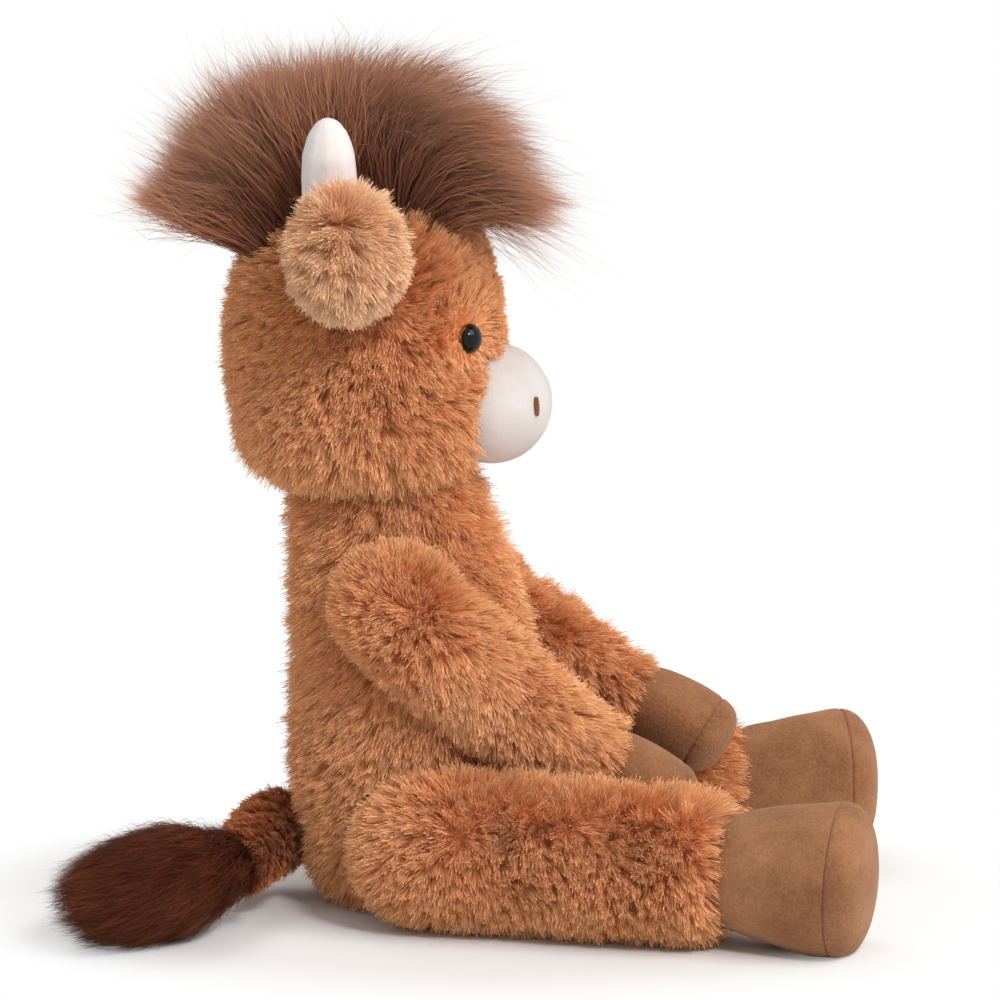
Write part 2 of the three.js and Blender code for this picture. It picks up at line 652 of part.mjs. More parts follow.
function earForm(side, root, grow) {
  const out = new THREE.Vector3(0, side * Math.cos(radians(EAR_LIFT)), Math.sin(radians(EAR_LIFT)));
  const start = root.clone().addScaledVector(out, -PLUSH);
  const path = new THREE.LineCurve3(start, root.clone().addScaledVector(out, EAR_LENGTH));
  const halfSizes = (t) => [EAR_HALF_TALL * earSwell(t), EAR_HALF_THICK * earSwell(t)];
  return solidFrom(sweptForm(path, new THREE.Vector3(1, 0, 0), halfSizes, grow));
}

// Horns: plump velour cones that lean out and curl up.
const hornSwell = plump(...HORN_SWELL);

function hornForm(side, grow) {
  const x = head.x - HORN_BACK;
  const along = (HORN_SIDE / HEAD_HALF_WIDTH) ** 2 + (HORN_BACK / HEAD_HALF_LENGTH) ** 2;
  const rootHeight = HEAD_HALF_HEIGHT * (1 - along ** (HEAD_FULLNESS / 2)) ** (1 / HEAD_FULLNESS);
  const rootZ = head.z + rootHeight - HORN_ROOT_DEPTH;
  const path = new THREE.QuadraticBezierCurve3(
    new THREE.Vector3(x, side * HORN_SIDE, rootZ),
    new THREE.Vector3(x, side * (HORN_SIDE + HORN_SPREAD), (rootZ + head.z + HORN_RISE) / 2),
    new THREE.Vector3(x, side * (HORN_SIDE + HORN_SPREAD), head.z + HORN_RISE),
  );
  const taper = (t) => HORN_RADIUS * hornSwell(t);
  return solidFrom(sweptForm(path, new THREE.Vector3(1, 0, 0), (t) => [taper(t), taper(t)], grow));
}

// Mane: a crest of long hair over the crown, from the nape to a forelock in front of the brow.
const maneSwell = plump(...MANE_SWELL);

function maneForm(grow) {
  const places = MANE_LINE.map(([x, z]) => new THREE.Vector3(head.x + x, 0, head.z + z));
  const path = new THREE.CatmullRomCurve3(places);
  const halfSizes = (t) => [MANE_HALF_DEPTH * maneSwell(t), MANE_HALF_WIDTH * maneSwell(t)];
  return solidFrom(sweptForm(path, new THREE.Vector3(0, 1, 0), halfSizes, grow, SMALL_SIDES + 2));
}

// Head pieces
const headGroup = jointGroup(toy, neck);
const headCutters = [headForm(-PLUSH), neckHollow(0), ...eyes.map(({ pocket }) => pocket)];
const faceCloth = cutAll(headForm(0), [...headCutters, muzzleForm(SEAM_GAP)]);
addPiece(headGroup, "head_cover", faceCloth, PLUSH_BROWN);
addPiece(
  headGroup,
  "head_stuffing",
  cutAll(headForm(-PLUSH - SEAM_GAP).add(muzzleForm(-VELOUR - SEAM_GAP)), [
    neckHollow(SEAM_GAP),
    ...eyes.map(({ room }) => room),
  ]),
  FIBRE_WHITE,
);
const muzzleCloth = cutAll(muzzleForm(0), [...headCutters, muzzleForm(-VELOUR)]);
addPiece(headGroup, "muzzle", muzzleCloth, VELOUR_WHITE);
for (const [name, side] of SIDE_NAMES) {
  const [yaw, pitch] = [side * radians(NOSTRIL_YAW), radians(NOSTRIL_PITCH)];
  const spot = new THREE.Vector3(
    Math.cos(pitch) * Math.cos(yaw) * MUZZLE_HALF_LENGTH,
    Math.cos(pitch) * Math.sin(yaw) * MUZZLE_HALF_WIDTH,
    Math.sin(pitch) * MUZZLE_HALF_HEIGHT,
  );
  const outwards = spot.clone().divide(new THREE.Vector3(...muzzleHalfSizes.map((half) => half ** 2)));
  const patch = new THREE.SphereGeometry(1, SMALL_SIDES, SMALL_SIDES / 2);
  patch.scale(NOSTRIL_PROUD + SEAM_GAP, NOSTRIL_WIDTH / 2, NOSTRIL_HEIGHT / 2);
  const solid = solidFrom(patch, facing(spot.add(muzzle), outwards.normalize()));
  addPiece(headGroup, `nostril_${name}`, solid.subtract(muzzleForm(SEAM_GAP)), STITCH_BROWN);
}
for (const { name, eye, washer } of eyes) {
  addPiece(headGroup, `eye_${name}`, eye, EYE_BLACK);
  addPiece(headGroup, `eye_washer_${name}`, washer, WASHER_WHITE);
}
for (const [name, side] of SIDE_NAMES) {
  addPiece(headGroup, `horn_${name}`, hornForm(side, 0).subtract(headForm(SEAM_GAP)), VELOUR_WHITE);
}
const hornRooms = SIDE_NAMES.map(([, side]) => hornForm(side, SEAM_GAP));
addPiece(headGroup, "mane", cutAll(maneForm(0), [headForm(SEAM_GAP), ...hornRooms]), MANE_BROWN);

for (const { name, side, point } of earRoots) {
  const axis = new THREE.Vector3(side, 0, 0);
  const swings = range(SWEEP_STEPS).map((t) => turnAbout(point, axis, EAR_DROOP * t));
  const cutters = [...swings.map((swing) => headForm(SEAM_GAP, swing)), hornForm(side, SEAM_GAP)];
  const earGroup = jointGroup(headGroup, point.clone().sub(neck));
  addPiece(earGroup, `ear_${name}`, cutAll(earForm(side, point, 0), cutters), EAR_TAN);
}

// Leg pieces: the torso, swept through the swing, cuts the thigh.
const bellyReach = BELLY_HALF_LENGTH - HIP_X + SEAM_GAP;
const hipClearance = Math.hypot(bellyReach, BELLY_HEIGHT - hipHeight) + SEAM_GAP;
for (const { name, side, hip, group, solids } of legs) {
  const swept = solidFrom(
    new THREE.CylinderGeometry(hipClearance, hipClearance, SLAB, 2 * LIMB_SIDES),
    new THREE.Matrix4().setPosition(hip.x, hip.y - (side * SLAB) / 2, hip.z),
  );
  const behind = new THREE.Vector3(hip.x - SLAB / 2, hip.y - (side * SLAB) / 2, hip.z);
  const cutters = [belowFloor, swept, box(behind, [SLAB, SLAB, SLAB])];
  addPiece(group, `leg_${name}_sleeve`, cutAll(solids.sleeve, cutters), PLUSH_BROWN);
  addPiece(group, `leg_${name}_stuffing`, cutAll(solids.stuffing, cutters), FIBRE_WHITE);
  addPiece(group, `leg_${name}_hoof`, solids.hoof.subtract(belowFloor), SUEDE_BROWN);
  addPiece(group, `leg_${name}_sole`, solids.sole.subtract(belowFloor), SUEDE_BROWN);
}

// Arm pieces: the torso's side and the thigh cut the sleeve, which swings away from both.
for (const [i, { name, side, shoulder, group, solids }] of arms.entries()) {
  const [x, y, z] = ARM_LOWERING;
  const axis = new THREE.Vector3(side * x, y, side * z).normalize();
  const swings = [...range(SWEEP_STEPS).map((t) => ARM_PASSING * t), ARM_LIFT];
  const torsoRooms = swings.map((swing) =>
    torsoForm(SEAM_GAP, turnAbout(shoulder, axis, swing)).subtract(ball(shoulder, ARM.rootRadius)),
  );
  const cutters = [...torsoRooms, ...legs[i].solids.outside(SEAM_GAP)];
  addPiece(group, `arm_${name}_sleeve`, cutAll(solids.sleeve, cutters), PLUSH_BROWN);
  addPiece(group, `arm_${name}_stuffing`, cutAll(solids.stuffing, cutters), FIBRE_WHITE);
  addPiece(group, `arm_${name}_hoof`, cutAll(solids.hoof, cutters), SUEDE_BROWN);
  addPiece(group, `arm_${name}_sole`, cutAll(solids.sole, cutters), SUEDE_BROWN);
}

// Tail pieces
const stemOutline = sleeveOutline(
  {
    rootRadius: TAIL_ROOT_RADIUS,
    middleRadius: (TAIL_ROOT_RADIUS + TAIL_END_RADIUS) / 2,
    endRadius: TAIL_END_RADIUS,
    sleeveLength: TAIL_STEM_LENGTH,
  },
  0,
);
const drop = new THREE.Matrix4().makeRotationY(radians(TAIL_DROP));
const stemTurn = tailGroup.matrixWorld.clone().multiply(drop);
const stem = solidFrom(lathedAboutX([...stemOutline, [TAIL_STEM_LENGTH, 0]], LIMB_SIDES), stemTurn);
const tuftStart = stemEnd.clone().setZ(TUFT_RADIUS - 2 * SETTLE - TAIL_ROOT_HEIGHT);
const tuftSwell = plump(...TUFT_SWELL);
const upwards = new THREE.Vector3(0, 0, 1);

function tuftForm(grow) {
  const way = new THREE.Vector3(TUFT_LENGTH, 0, 0).applyAxisAngle(upwards, -radians(TUFT_BEND));
  const path = new THREE.LineCurve3(tuftStart, tuftStart.clone().add(way));
  const halfSizes = (t) => [TUFT_RADIUS * tuftSwell(t), TUFT_RADIUS * tuftSwell(t)];
  return solidFrom(sweptForm(path, new THREE.Vector3(0, 1, 0), halfSizes, grow), tailGroup.matrixWorld);
}
// The torso, seen from the tail along its swing, cuts the stem.
const torsoSwings = [0, TAIL_SWING / 8, TAIL_SWING / 4, TAIL_SWING].map((swing) =>
  torsoForm(SEAM_GAP, turnAbout(tailRoot, upwards, swing)).subtract(ball(tailRoot, TAIL_ROOT_RADIUS)),
);
addPiece(tailGroup, "tail_stem", cutAll(stem, [belowFloor, ...torsoSwings]), PLUSH_BROWN);
const stemRoom = solidFrom(
  lathedAboutX(
    [...grownOutline([...stemOutline, [TAIL_STEM_LENGTH + SEAM_GAP, 0]], SEAM_GAP)],
    LIMB_SIDES,
  ),
  stemTurn,
);
addPiece(tailGroup, "tail_tuft", cutAll(tuftForm(0), [belowFloor, stemRoom]), TUFT_BROWN);

export default toy;
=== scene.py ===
import json
import math

import bmesh
import bpy
import numpy as np
from mathutils import Matrix, Vector, kdtree, noise


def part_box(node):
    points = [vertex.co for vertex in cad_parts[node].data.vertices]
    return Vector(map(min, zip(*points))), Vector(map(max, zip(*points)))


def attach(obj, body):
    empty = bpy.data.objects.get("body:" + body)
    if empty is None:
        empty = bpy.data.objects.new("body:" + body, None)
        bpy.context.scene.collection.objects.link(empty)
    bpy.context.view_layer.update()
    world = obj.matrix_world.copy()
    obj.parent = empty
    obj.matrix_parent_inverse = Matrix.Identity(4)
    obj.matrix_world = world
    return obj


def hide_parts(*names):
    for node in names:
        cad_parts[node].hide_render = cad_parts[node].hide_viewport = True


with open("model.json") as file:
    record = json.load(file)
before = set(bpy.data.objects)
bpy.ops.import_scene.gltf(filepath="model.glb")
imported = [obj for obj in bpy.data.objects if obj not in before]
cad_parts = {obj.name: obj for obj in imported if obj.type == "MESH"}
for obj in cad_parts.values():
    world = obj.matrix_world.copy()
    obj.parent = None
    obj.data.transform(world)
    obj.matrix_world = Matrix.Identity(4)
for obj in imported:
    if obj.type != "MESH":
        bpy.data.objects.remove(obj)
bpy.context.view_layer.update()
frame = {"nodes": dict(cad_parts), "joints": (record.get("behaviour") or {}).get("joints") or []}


# Studio: a white table top that fades into a white room. A large soft lamp and a smaller one, which
# shows in the eyes, stand in front of the toy, and a weaker one behind it lights its hair.
CAMERA_AIM = Vector((0.031, 0.0, 0.152))
CAMERA_AZIMUTH, CAMERA_ELEVATION, CAMERA_DISTANCE = 3.5, 10.5, 2.2
CAMERA_LENS = 211.0
ROOM_WHITE = (1.0, 1.0, 1.0, 1.0)
ROOM_LIGHT = 0.47
TABLE_RADIUS = 3.0
TABLE_WHITE = (0.96, 0.955, 0.95, 1.0)
SHADE_MIDDLE, SHADE_REACH = (0.025, -0.01, 0.0), (0.17, 0.12, 1.0)  # the oval that the shade fills
SHADE_NEAR, SHADE_FAR = 0.85, 1.3  # where the shade starts and ends to fade, in shares of that oval
KEY_LAMP = {"azimuth": 60, "elevation": 44, "distance": 1.9, "size": 1.1, "watts": 14}
BACK_LAMP = {"azimuth": 205, "elevation": 52, "distance": 1.8, "size": 0.9, "watts": 6}
EYE_LAMP = {"azimuth": 30, "elevation": 40, "distance": 1.6, "size": 0.28, "watts": 9}


class Shade:
    """One socket of a material's nodes. Sums and products of shades add Math nodes."""

    def __init__(self, socket):
        self.socket = socket

    def node(self, kind, settings, sockets, output=0):
        """Adds a node to the same material: its settings first, then its sockets."""
        made = self.socket.id_data.nodes.new(kind)
        for key, value in settings.items():
            if key == "stops":
                set_stops(made.color_ramp.elements, value)
            else:
                setattr(made, key, value)
        for key, value in sockets.items():
            feed(made.inputs[key], value)
        return Shade(made.outputs[output])

    def math(self, operation, first, second):
        return self.node("ShaderNodeMath", {"operation": operation}, {0: first, 1: second})

    def __add__(self, other):
        return self.math("ADD", self, other)

    def __sub__(self, other):
        return self.math("SUBTRACT", self, other)

    def __rsub__(self, other):
        return self.math("SUBTRACT", other, self)

    def __mul__(self, other):
        return self.math("MULTIPLY", self, other)

    __radd__ = __add__
    __rmul__ = __mul__


def set_stops(elements, stops):
    """Sets a colour ramp's stops from (place, colour) pairs."""
    for i, (place, colour) in enumerate(stops):
        element = elements[i] if i < 2 else elements.new(place)
        element.position = place
        element.color = colour


def feed(socket, value):
    """Links a shade to a socket, or sets the socket's own value."""
    if isinstance(value, Shade):
        socket.id_data.links.new(value.socket, socket)
    else:
        socket.default_value = value


def new_material(name):
    """A material, its main shader and its object coordinates."""
    material = bpy.data.materials.new(name)
    material.use_nodes = True
    shader = material.node_tree.nodes["Principled BSDF"]
    coordinates = material.node_tree.nodes.new("ShaderNodeTexCoord")
    return material, shader, Shade(coordinates.outputs["Object"])


def seen_directly(shade):
    """1 for rays from the camera, mirrors and glass, 0 for rays that only light things."""
    ray = shade.node("ShaderNodeLightPath", {}, {}).socket.node
    directly = Shade(ray.outputs["Is Camera Ray"]) + Shade(ray.outputs["Is Glossy Ray"])
    directly = directly + Shade(ray.outputs["Is Transmission Ray"])
    return directly.math("MINIMUM", directly, 1.0)


def placed_round_toy(azimuth, elevation, distance):
    """A point round the toy, with azimuth 0 on its right-hand side."""
    turn, tilt = math.radians(azimuth), math.radians(elevation)
    level = Vector((math.sin(turn), -math.cos(turn), 0.0)) * math.cos(tilt)
    return CAMERA_AIM + distance * (level + Vector((0.0, 0.0, math.sin(tilt))))


def aim(thing, place):
    """Puts a camera or a lamp in its place and points it at the toy."""
    thing.location = place
    thing.rotation_euler = (CAMERA_AIM - place).to_track_quat("-Z", "Y").to_euler()
    bpy.context.scene.collection.objects.link(thing)


bpy.context.scene.view_settings.view_transform = "Standard"
camera = bpy.data.objects.new("camera", bpy.data.cameras.new("camera"))
camera.data.lens = CAMERA_LENS
aim(camera, placed_round_toy(CAMERA_AZIMUTH, CAMERA_ELEVATION, CAMERA_DISTANCE))
bpy.context.scene.camera = camera

for lamp_name, lamp in {"key_lamp": KEY_LAMP, "back_lamp": BACK_LAMP, "eye_lamp": EYE_LAMP}.items():
    light = bpy.data.lights.new(lamp_name, "AREA")
    light.size = lamp["size"]
    light.energy = lamp["watts"]
    place = placed_round_toy(lamp["azimuth"], lamp["elevation"], lamp["distance"])
    aim(bpy.data.objects.new(lamp_name, light), place)

room = bpy.data.worlds.new("room")
room.use_nodes = True
bpy.context.scene.world = room
backdrop = room.node_tree.nodes["Background"]
backdrop.inputs["Color"].default_value = ROOM_WHITE
directly = seen_directly(Shade(backdrop.outputs[0]))
feed(backdrop.inputs["Strength"], directly * (1.0 - ROOM_LIGHT) + ROOM_LIGHT)

table_form = bmesh.new()
bmesh.ops.create_circle(table_form, cap_ends=True, segments=96, radius=TABLE_RADIUS)
table_mesh = bpy.data.meshes.new("table_top")
table_form.to_mesh(table_mesh)
table_form.free()
table_top = bpy.data.objects.new("table_top", table_mesh)
bpy.context.scene.collection.objects.link(table_top)

table_white, table_shader, table_place = new_material("table_white")
table_shader.inputs["Base Color"].default_value = TABLE_WHITE
table_shader.inputs["Roughness"].default_value = 1.0
table_shader.inputs["Specular IOR Level"].default_value = 0.0
oval = table_place.node("ShaderNodeVectorMath", {"operation": "SUBTRACT"}, {0: table_place, 1: SHADE_MIDDLE})
oval = oval.node("ShaderNodeVectorMath", {"operation": "DIVIDE"}, {0: oval, 1: SHADE_REACH})
away = oval.node("ShaderNodeVectorMath", {"operation": "LENGTH"}, {0: oval}, "Value")
fade = away.node(
    "ShaderNodeMapRange",
    {"interpolation_type": "SMOOTHSTEP"},
    {"Value": away, "From Min": SHADE_NEAR, "From Max": SHADE_FAR},
)
glow = away.node("ShaderNodeEmission", {}, {"Color": ROOM_WHITE, "Strength": 1.0})
whole = away.node(
    "ShaderNodeMixShader",
    {},
    {0: fade * seen_directly(away), 1: Shade(table_shader.outputs[0]), 2: glow},
)
feed(table_white.node_tree.nodes["Material Output"].inputs["Surface"], whole)
table_mesh.materials.append(table_white)


# Torso cover: brown long-pile plush over a pear-shaped woven ground, cut to shape and sewn, with
# its pile combed down. The pile is the real one's length, and its fibres gather in small clumps.
TORSO_PILE, TORSO_GROUND, TORSO_FIBRES = 0.0125, 0.0085, 230000
TORSO_COMBED = np.array([-0.15, 0.0, -0.7])
NECK_HIDDEN = 0.012  # how deep in the head the torso's pile is left out
PLUSH_GROUND = 0.0078  # depth of the woven ground under the tips of pile that stands upright
GROUND_CELL, GROUND_SMOOTHINGS, GROUND_ROUNDS = 0.003, 6, 10
FLOOR = 0.0004  # lowest height of a fibre that lies on the table
PLUSH_FIBRE, PLUSH_CLUMP = 0.0003, 0.0022  # width of a fibre and of a clump
LEAST_RISE = 0.25  # of a fibre that lies flat, so that none points into its cloth
FIRST_BEND = 0.45  # share of a fibre's length at which it leaves the upright
CLUMP_LEAN, FIBRE_LEAN = 0.19, 0.14
LENGTH_SCATTER, SHORTEST, LONGEST = 0.13, 0.6, 1.35  # in shares of the pile's length
LEAST_GATHERED, MOST_GATHERED = 0.1, 0.5  # of the way from a tip to the tip that leads its clump
CLUMP_TINT, FIBRE_TINT = 0.12, 0.08
RIBBON_TWIST, RIBBON_TAPER = 0.6, 0.9
BLUNT_SHARE, BLUNT_WIDTH = 0.5, 0.75  # of cut pile that is widest at its tip
SHEEN_WARM = (1.0, 0.82, 0.66, 1.0)
# Colours from root to tip: the roots are painted darker than the tips, as painted shade deep in the pile.
PLUSH_STOPS = [
    (0.0, (0.850, 0.335, 0.122, 1.0)),
    (0.45, (0.920, 0.425, 0.178, 1.0)),
    (1.0, (0.970, 0.545, 0.268, 1.0)),
]


def loose_hull(node):
    """The convex form round a CAD solid."""
    form = bmesh.new()
    for vertex in frame["nodes"][node].data.vertices:
        form.verts.new(vertex.co)
    bmesh.ops.remove_doubles(form, verts=form.verts, dist=1e-6)
    hull = bmesh.ops.convex_hull(form, input=form.verts)
    bmesh.ops.delete(form, geom=hull["geom_interior"], context="VERTS")
    bmesh.ops.recalc_face_normals(form, faces=form.faces)
    return form


def hull_planes(node):
    """The normals of a CAD solid's convex form, and how far it reaches along each."""
    form = loose_hull(node)
    normals = np.array([face.normal for face in form.faces])
    reach = (np.array([vertex.co for vertex in form.verts]) @ normals.T).max(axis=0)
    form.free()
    return normals, reach


def within(points, node, margin=0.0):
    """Which points lie inside a CAD solid's convex form, grown by a margin."""
    normals, offsets = hull_planes(node)
    return ((points @ normals.T) < offsets + margin).all(axis=1)


def even_cells(form, cell):
    """Meshes a form again in even cells, and smooths it."""
    mesh = bpy.data.meshes.new("blank")
    form.to_mesh(mesh)
    form.free()
    blank = bpy.data.objects.new("blank", mesh)
    bpy.context.scene.collection.objects.link(blank)
    remesh = blank.modifiers.new("even_cells", "REMESH")
    remesh.mode = "VOXEL"
    remesh.voxel_size = cell
    evened = bpy.data.meshes.new_from_object(blank.evaluated_get(bpy.context.evaluated_depsgraph_get()))
    bpy.data.objects.remove(blank)
    form = bmesh.new()
    form.from_mesh(evened)
    bpy.data.meshes.remove(evened)
    for _ in range(GROUND_SMOOTHINGS):
        bmesh.ops.smooth_vert(form, verts=form.verts, factor=0.5)
    return form


def woven_ground(node, depth, cell=GROUND_CELL):
    """The cloth under a cover's pile: its rounded form, moved in by a depth or by one for each point."""
    form = even_cells(loose_hull(node), cell)
    normals, offsets = hull_planes(node)
    points = np.array([vertex.co for vertex in form.verts])
    depths = depth(points) if callable(depth) else np.full(len(points), depth)
    for _ in range(GROUND_ROUNDS):
        over = points @ normals.T - offsets + depths[:, None]
        worst = over.argmax(axis=1)
        points -= np.maximum(over.max(axis=1), 0)[:, None] * normals[worst]
    for vertex, point in zip(form.verts, points):
        vertex.co = point
    form = even_cells(form, cell)
    ground = bpy.data.meshes.new(node + "_ground")
    form.to_mesh(ground)
    form.free()
    return ground


def unit(vectors):
    """The same directions with a length of 1."""
    return vectors / np.maximum(np.linalg.norm(vectors, axis=-1, keepdims=True), 1e-9)


def mesh_arrays(mesh):
    """A mesh's points, their normals and its triangles as arrays."""
    points = np.empty(3 * len(mesh.vertices), np.float32)
    mesh.vertices.foreach_get("co", points)
    normals = np.empty(3 * len(mesh.vertices), np.float32)
    mesh.vertex_normals.foreach_get("vector", normals)
    mesh.calc_loop_triangles()
    corners = np.empty(3 * len(mesh.loop_triangles), np.int32)
    mesh.loop_triangles.foreach_get("vertices", corners)
    return points.reshape(-1, 3).astype(float), normals.reshape(-1, 3).astype(float), corners.reshape(-1, 3)


def roots_on(ground, count, rng, allowed=None):
    """Random roots on a cloth, spread by its area, with the cloth's normals there."""
    points, normals, triangles = mesh_arrays(ground)
    if allowed is not None:
        triangles = triangles[allowed(points[triangles].mean(axis=1))]
    a, b, c = (points[triangles[:, i]] for i in range(3))
    area = np.linalg.norm(np.cross(b - a, c - a), axis=1) / 2
    pick = rng.choice(len(triangles), count, p=area / area.sum())
    share = rng.random((count, 2))
    share[share.sum(axis=1) > 1] = 1 - share[share.sum(axis=1) > 1]
    weights = np.column_stack([1 - share.sum(axis=1), share])[:, :, None]
    corners = triangles[pick]
    return (weights * points[corners]).sum(axis=1), unit((weights * normals[corners]).sum(axis=1)), area.sum()


def clumps_of(roots, area, spacing):
    """For each root, the number of the nearest of the roots that lead a clump."""
    leaders = min(len(roots), max(8, int(area / spacing**2)))
    tree = kdtree.KDTree(leaders)
    for i in range(leaders):
        tree.insert(roots[i], i)
    tree.balance()
    return np.array([tree.find(root)[1] for root in roots])


BRUSHED_SEED = 5
noise.seed_set(BRUSHED_SEED)  # vector noise would take its seed from the clock


def swirl(points, size, seed):
    """A smooth random vector at each point, for the way the pile was last brushed."""
    shift = Vector((seed * 3.1, seed * 1.7, seed * 2.3))
    return np.array([noise.noise_vector(Vector(point) / size + shift) for point in points])


def fibres(roots, normals, controls, tips, width, levels, tint, rng, frizz=0.0, blunt=0.0):
    """Tapered ribbons on bent lines, as points, faces of each size and a UV of tint and share.

    The share called blunt of them is widest at the tip, as cut pile is.
    """
    count = len(roots)
    share = np.linspace(0, 1, levels)[None, :, None]
    line = (1 - share) ** 2 * roots[:, None] + 2 * share * (1 - share) * controls[:, None]
    line = line + share**2 * tips[:, None]
    across = unit(np.cross(tips - roots, normals + RIBBON_TWIST * rng.normal(size=(count, 3))))
    if frizz:
        waves = share * rng.uniform(0.6, 1.7, (count, 1, 1)) + rng.random((count, 1, 1))
        size = frizz * share * np.abs(rng.normal(size=(count, 1, 1)))
        second = unit(np.cross(tips - roots, across))[:, None]
        line += size * (np.sin(2 * np.pi * waves) * across[:, None] + np.cos(2 * np.pi * waves) * second)
    line[:, :, 2] = np.maximum(line[:, :, 2], FLOOR)
    cut = rng.random(count) < blunt
    line[cut] = line[cut, ::-1]
    half = width / 2 * (1 - RIBBON_TAPER * share[:, :-1] ** 1.5) * rng.uniform(0.7, 1.3, (count, 1, 1))
    half[cut] *= BLUNT_WIDTH
    edges = np.stack([line[:, :-1] - across[:, None] * half, line[:, :-1] + across[:, None] * half], axis=2)
    points = np.concatenate([edges.reshape(count, -1, 3), line[:, -1:]], axis=1)
    points[:, :, 2] = np.maximum(points[:, :, 2], FLOOR / 2)
    start = (2 * levels - 1) * np.arange(count)[:, None]
    step = 2 * np.arange(levels - 2)
    quads = np.stack([step, step + 1, step + 3, step + 2], axis=1).reshape(1, -1) + start
    last = 2 * (levels - 2)
    tops = np.array([[last, last + 1, last + 2]]) + start
    along = 0.02 + 0.96 * np.concatenate([np.repeat(share[0, :-1, 0], 2), [1.0]])
    uv = np.empty((count, 2 * levels - 1, 2))
    sides = 0.004 * np.tile([-1, 1], levels)[: 2 * levels - 1]
    uv[:, :, 0] = np.clip(tint, 0.02, 0.98)[:, None] + sides
    uv[:, :, 1] = np.where(cut[:, None], 1 - along, along)
    return points.reshape(-1, 3), quads.reshape(-1, 4), tops.reshape(-1, 3), uv.reshape(-1, 2)


def furred(name, ground, tufts, material):
    """One piece of a cloth and the fibres on it."""
    points, _, triangles = mesh_arrays(ground)
    # The cloth takes the colour of the fibres' roots, with their painted shade.
    uv = np.tile([0.5, 0.03], (len(points), 1))
    sets = [(points, np.empty((0, 4), int), triangles, uv), *tufts]
    base = np.cumsum([0] + [len(s[0]) for s in sets])
    quads = np.concatenate([s[1] + base[i] for i, s in enumerate(sets)])
    threes = np.concatenate([s[2] + base[i] for i, s in enumerate(sets)])
    corners = np.concatenate([quads.ravel(), threes.ravel()]).astype(np.int32)
    starts = np.concatenate([4 * np.arange(len(quads)), 4 * len(quads) + 3 * np.arange(len(threes))])
    mesh = bpy.data.meshes.new(name)
    mesh.vertices.add(base[-1])
    mesh.vertices.foreach_set("co", np.concatenate([s[0] for s in sets]).astype(np.float32).ravel())
    mesh.loops.add(len(corners))
    mesh.loops.foreach_set("vertex_index", corners)
    mesh.polygons.add(len(starts))
    mesh.polygons.foreach_set("loop_start", starts.astype(np.int32))
    mesh.update(calc_edges=True)
    layer = mesh.uv_layers.new(name="OFBake")
    layer.data.foreach_set("uv", np.concatenate([s[3] for s in sets])[corners].astype(np.float32).ravel())
    mesh.materials.append(material)
    piece = bpy.data.objects.new(name, mesh)
    bpy.context.scene.collection.objects.link(piece)
    return piece


def plush_pile(ground, count, length, flow, seed, hidden=None, clump=PLUSH_CLUMP, levels=2, frizz=0.0):
    """Pile that stands on a cloth: flow leans it, and its tips gather in clumps."""
    rng = np.random.default_rng(seed)
    roots, normals, area = roots_on(ground, count, rng)
    clump_of = clumps_of(roots, area, clump)
    lean = CLUMP_LEAN * rng.normal(size=(count, 3))[clump_of] + FIBRE_LEAN * rng.normal(size=(count, 3))
    heading = unit(normals + flow(roots, normals) + lean)
    sunk = np.maximum(LEAST_RISE - (heading * normals).sum(axis=1), 0)[:, None]
    heading = unit(heading + sunk * normals)
    reach = length(roots) if callable(length) else length
    reach = reach * np.clip(rng.normal(1, LENGTH_SCATTER, count), SHORTEST, LONGEST)
    tips = roots + heading * reach[:, None]
    gather = rng.uniform(LEAST_GATHERED, MOST_GATHERED, count)[:, None]
    tips += gather * (tips[clump_of] - tips)
    controls = roots + normals * (FIRST_BEND * reach)[:, None]
    tint = 0.5 + CLUMP_TINT * rng.normal(size=count)[clump_of] + FIBRE_TINT * rng.normal(size=count)
    keep = np.ones(count, bool) if hidden is None else ~hidden(0.4 * roots + 0.6 * tips)
    lines = [part[keep] for part in (roots, normals, controls, tips)]
    blunt = BLUNT_SHARE if levels == 2 else 0.0
    return fibres(*lines, PLUSH_FIBRE, levels, tint[keep], rng, frizz, blunt)


def pile_finish(name, stops, roughness=0.6, dark=0.8, light=1.2, gloss=0.2):
    """Fibre colour from root to tip, with the roots painted darker as painted shade deep in the pile, and
    darker or lighter from fibre to fibre.
    """
    material, shader, place = new_material(name)
    pair = place.node("ShaderNodeUVMap", {"uv_map": "OFBake"}, {})
    split = place.node("ShaderNodeSeparateXYZ", {}, {0: pair}).socket.node
    ramp = place.node("ShaderNodeValToRGB", {"stops": stops}, {0: Shade(split.outputs["Y"])})
    tone = Shade(split.outputs["X"]) * (light - dark) + dark
    tinted = place.node("ShaderNodeVectorMath", {"operation": "SCALE"}, {0: ramp, "Scale": tone})
    feed(shader.inputs["Base Color"], tinted)
    shader.inputs["Roughness"].default_value = roughness
    shader.inputs["Specular IOR Level"].default_value = gloss
    shader.inputs["Sheen Weight"].default_value = gloss
    shader.inputs["Sheen Roughness"].default_value = 0.5
    shader.inputs["Sheen Tint"].default_value = SHEEN_WARM
    return material


def soft_piece(piece, body, slot, fill, *nodes):
    """Sets a stuffed piece on its body in place of its CAD solids."""
    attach(piece, body)
    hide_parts(*nodes)


def combed_down(points, normals):
    """The torso's pile lies down and a little to the back."""
    return TORSO_COMBED + 0.3 * swirl(points, 0.03, 1)


def in_head(points):
    """Which points of the torso's pile the head covers."""
    return within(points, "head_cover", -NECK_HIDDEN)


plush_brown = pile_finish("plush_brown", PLUSH_STOPS)
torso_ground = woven_ground("torso_cover", TORSO_GROUND)
torso_pile = plush_pile(torso_ground, TORSO_FIBRES, TORSO_PILE, combed_down, 11, in_head)
torso = furred("torso", torso_ground, [torso_pile], plush_brown)
soft_piece(torso, "torso", "plush_brown", 0.8, "torso_cover")


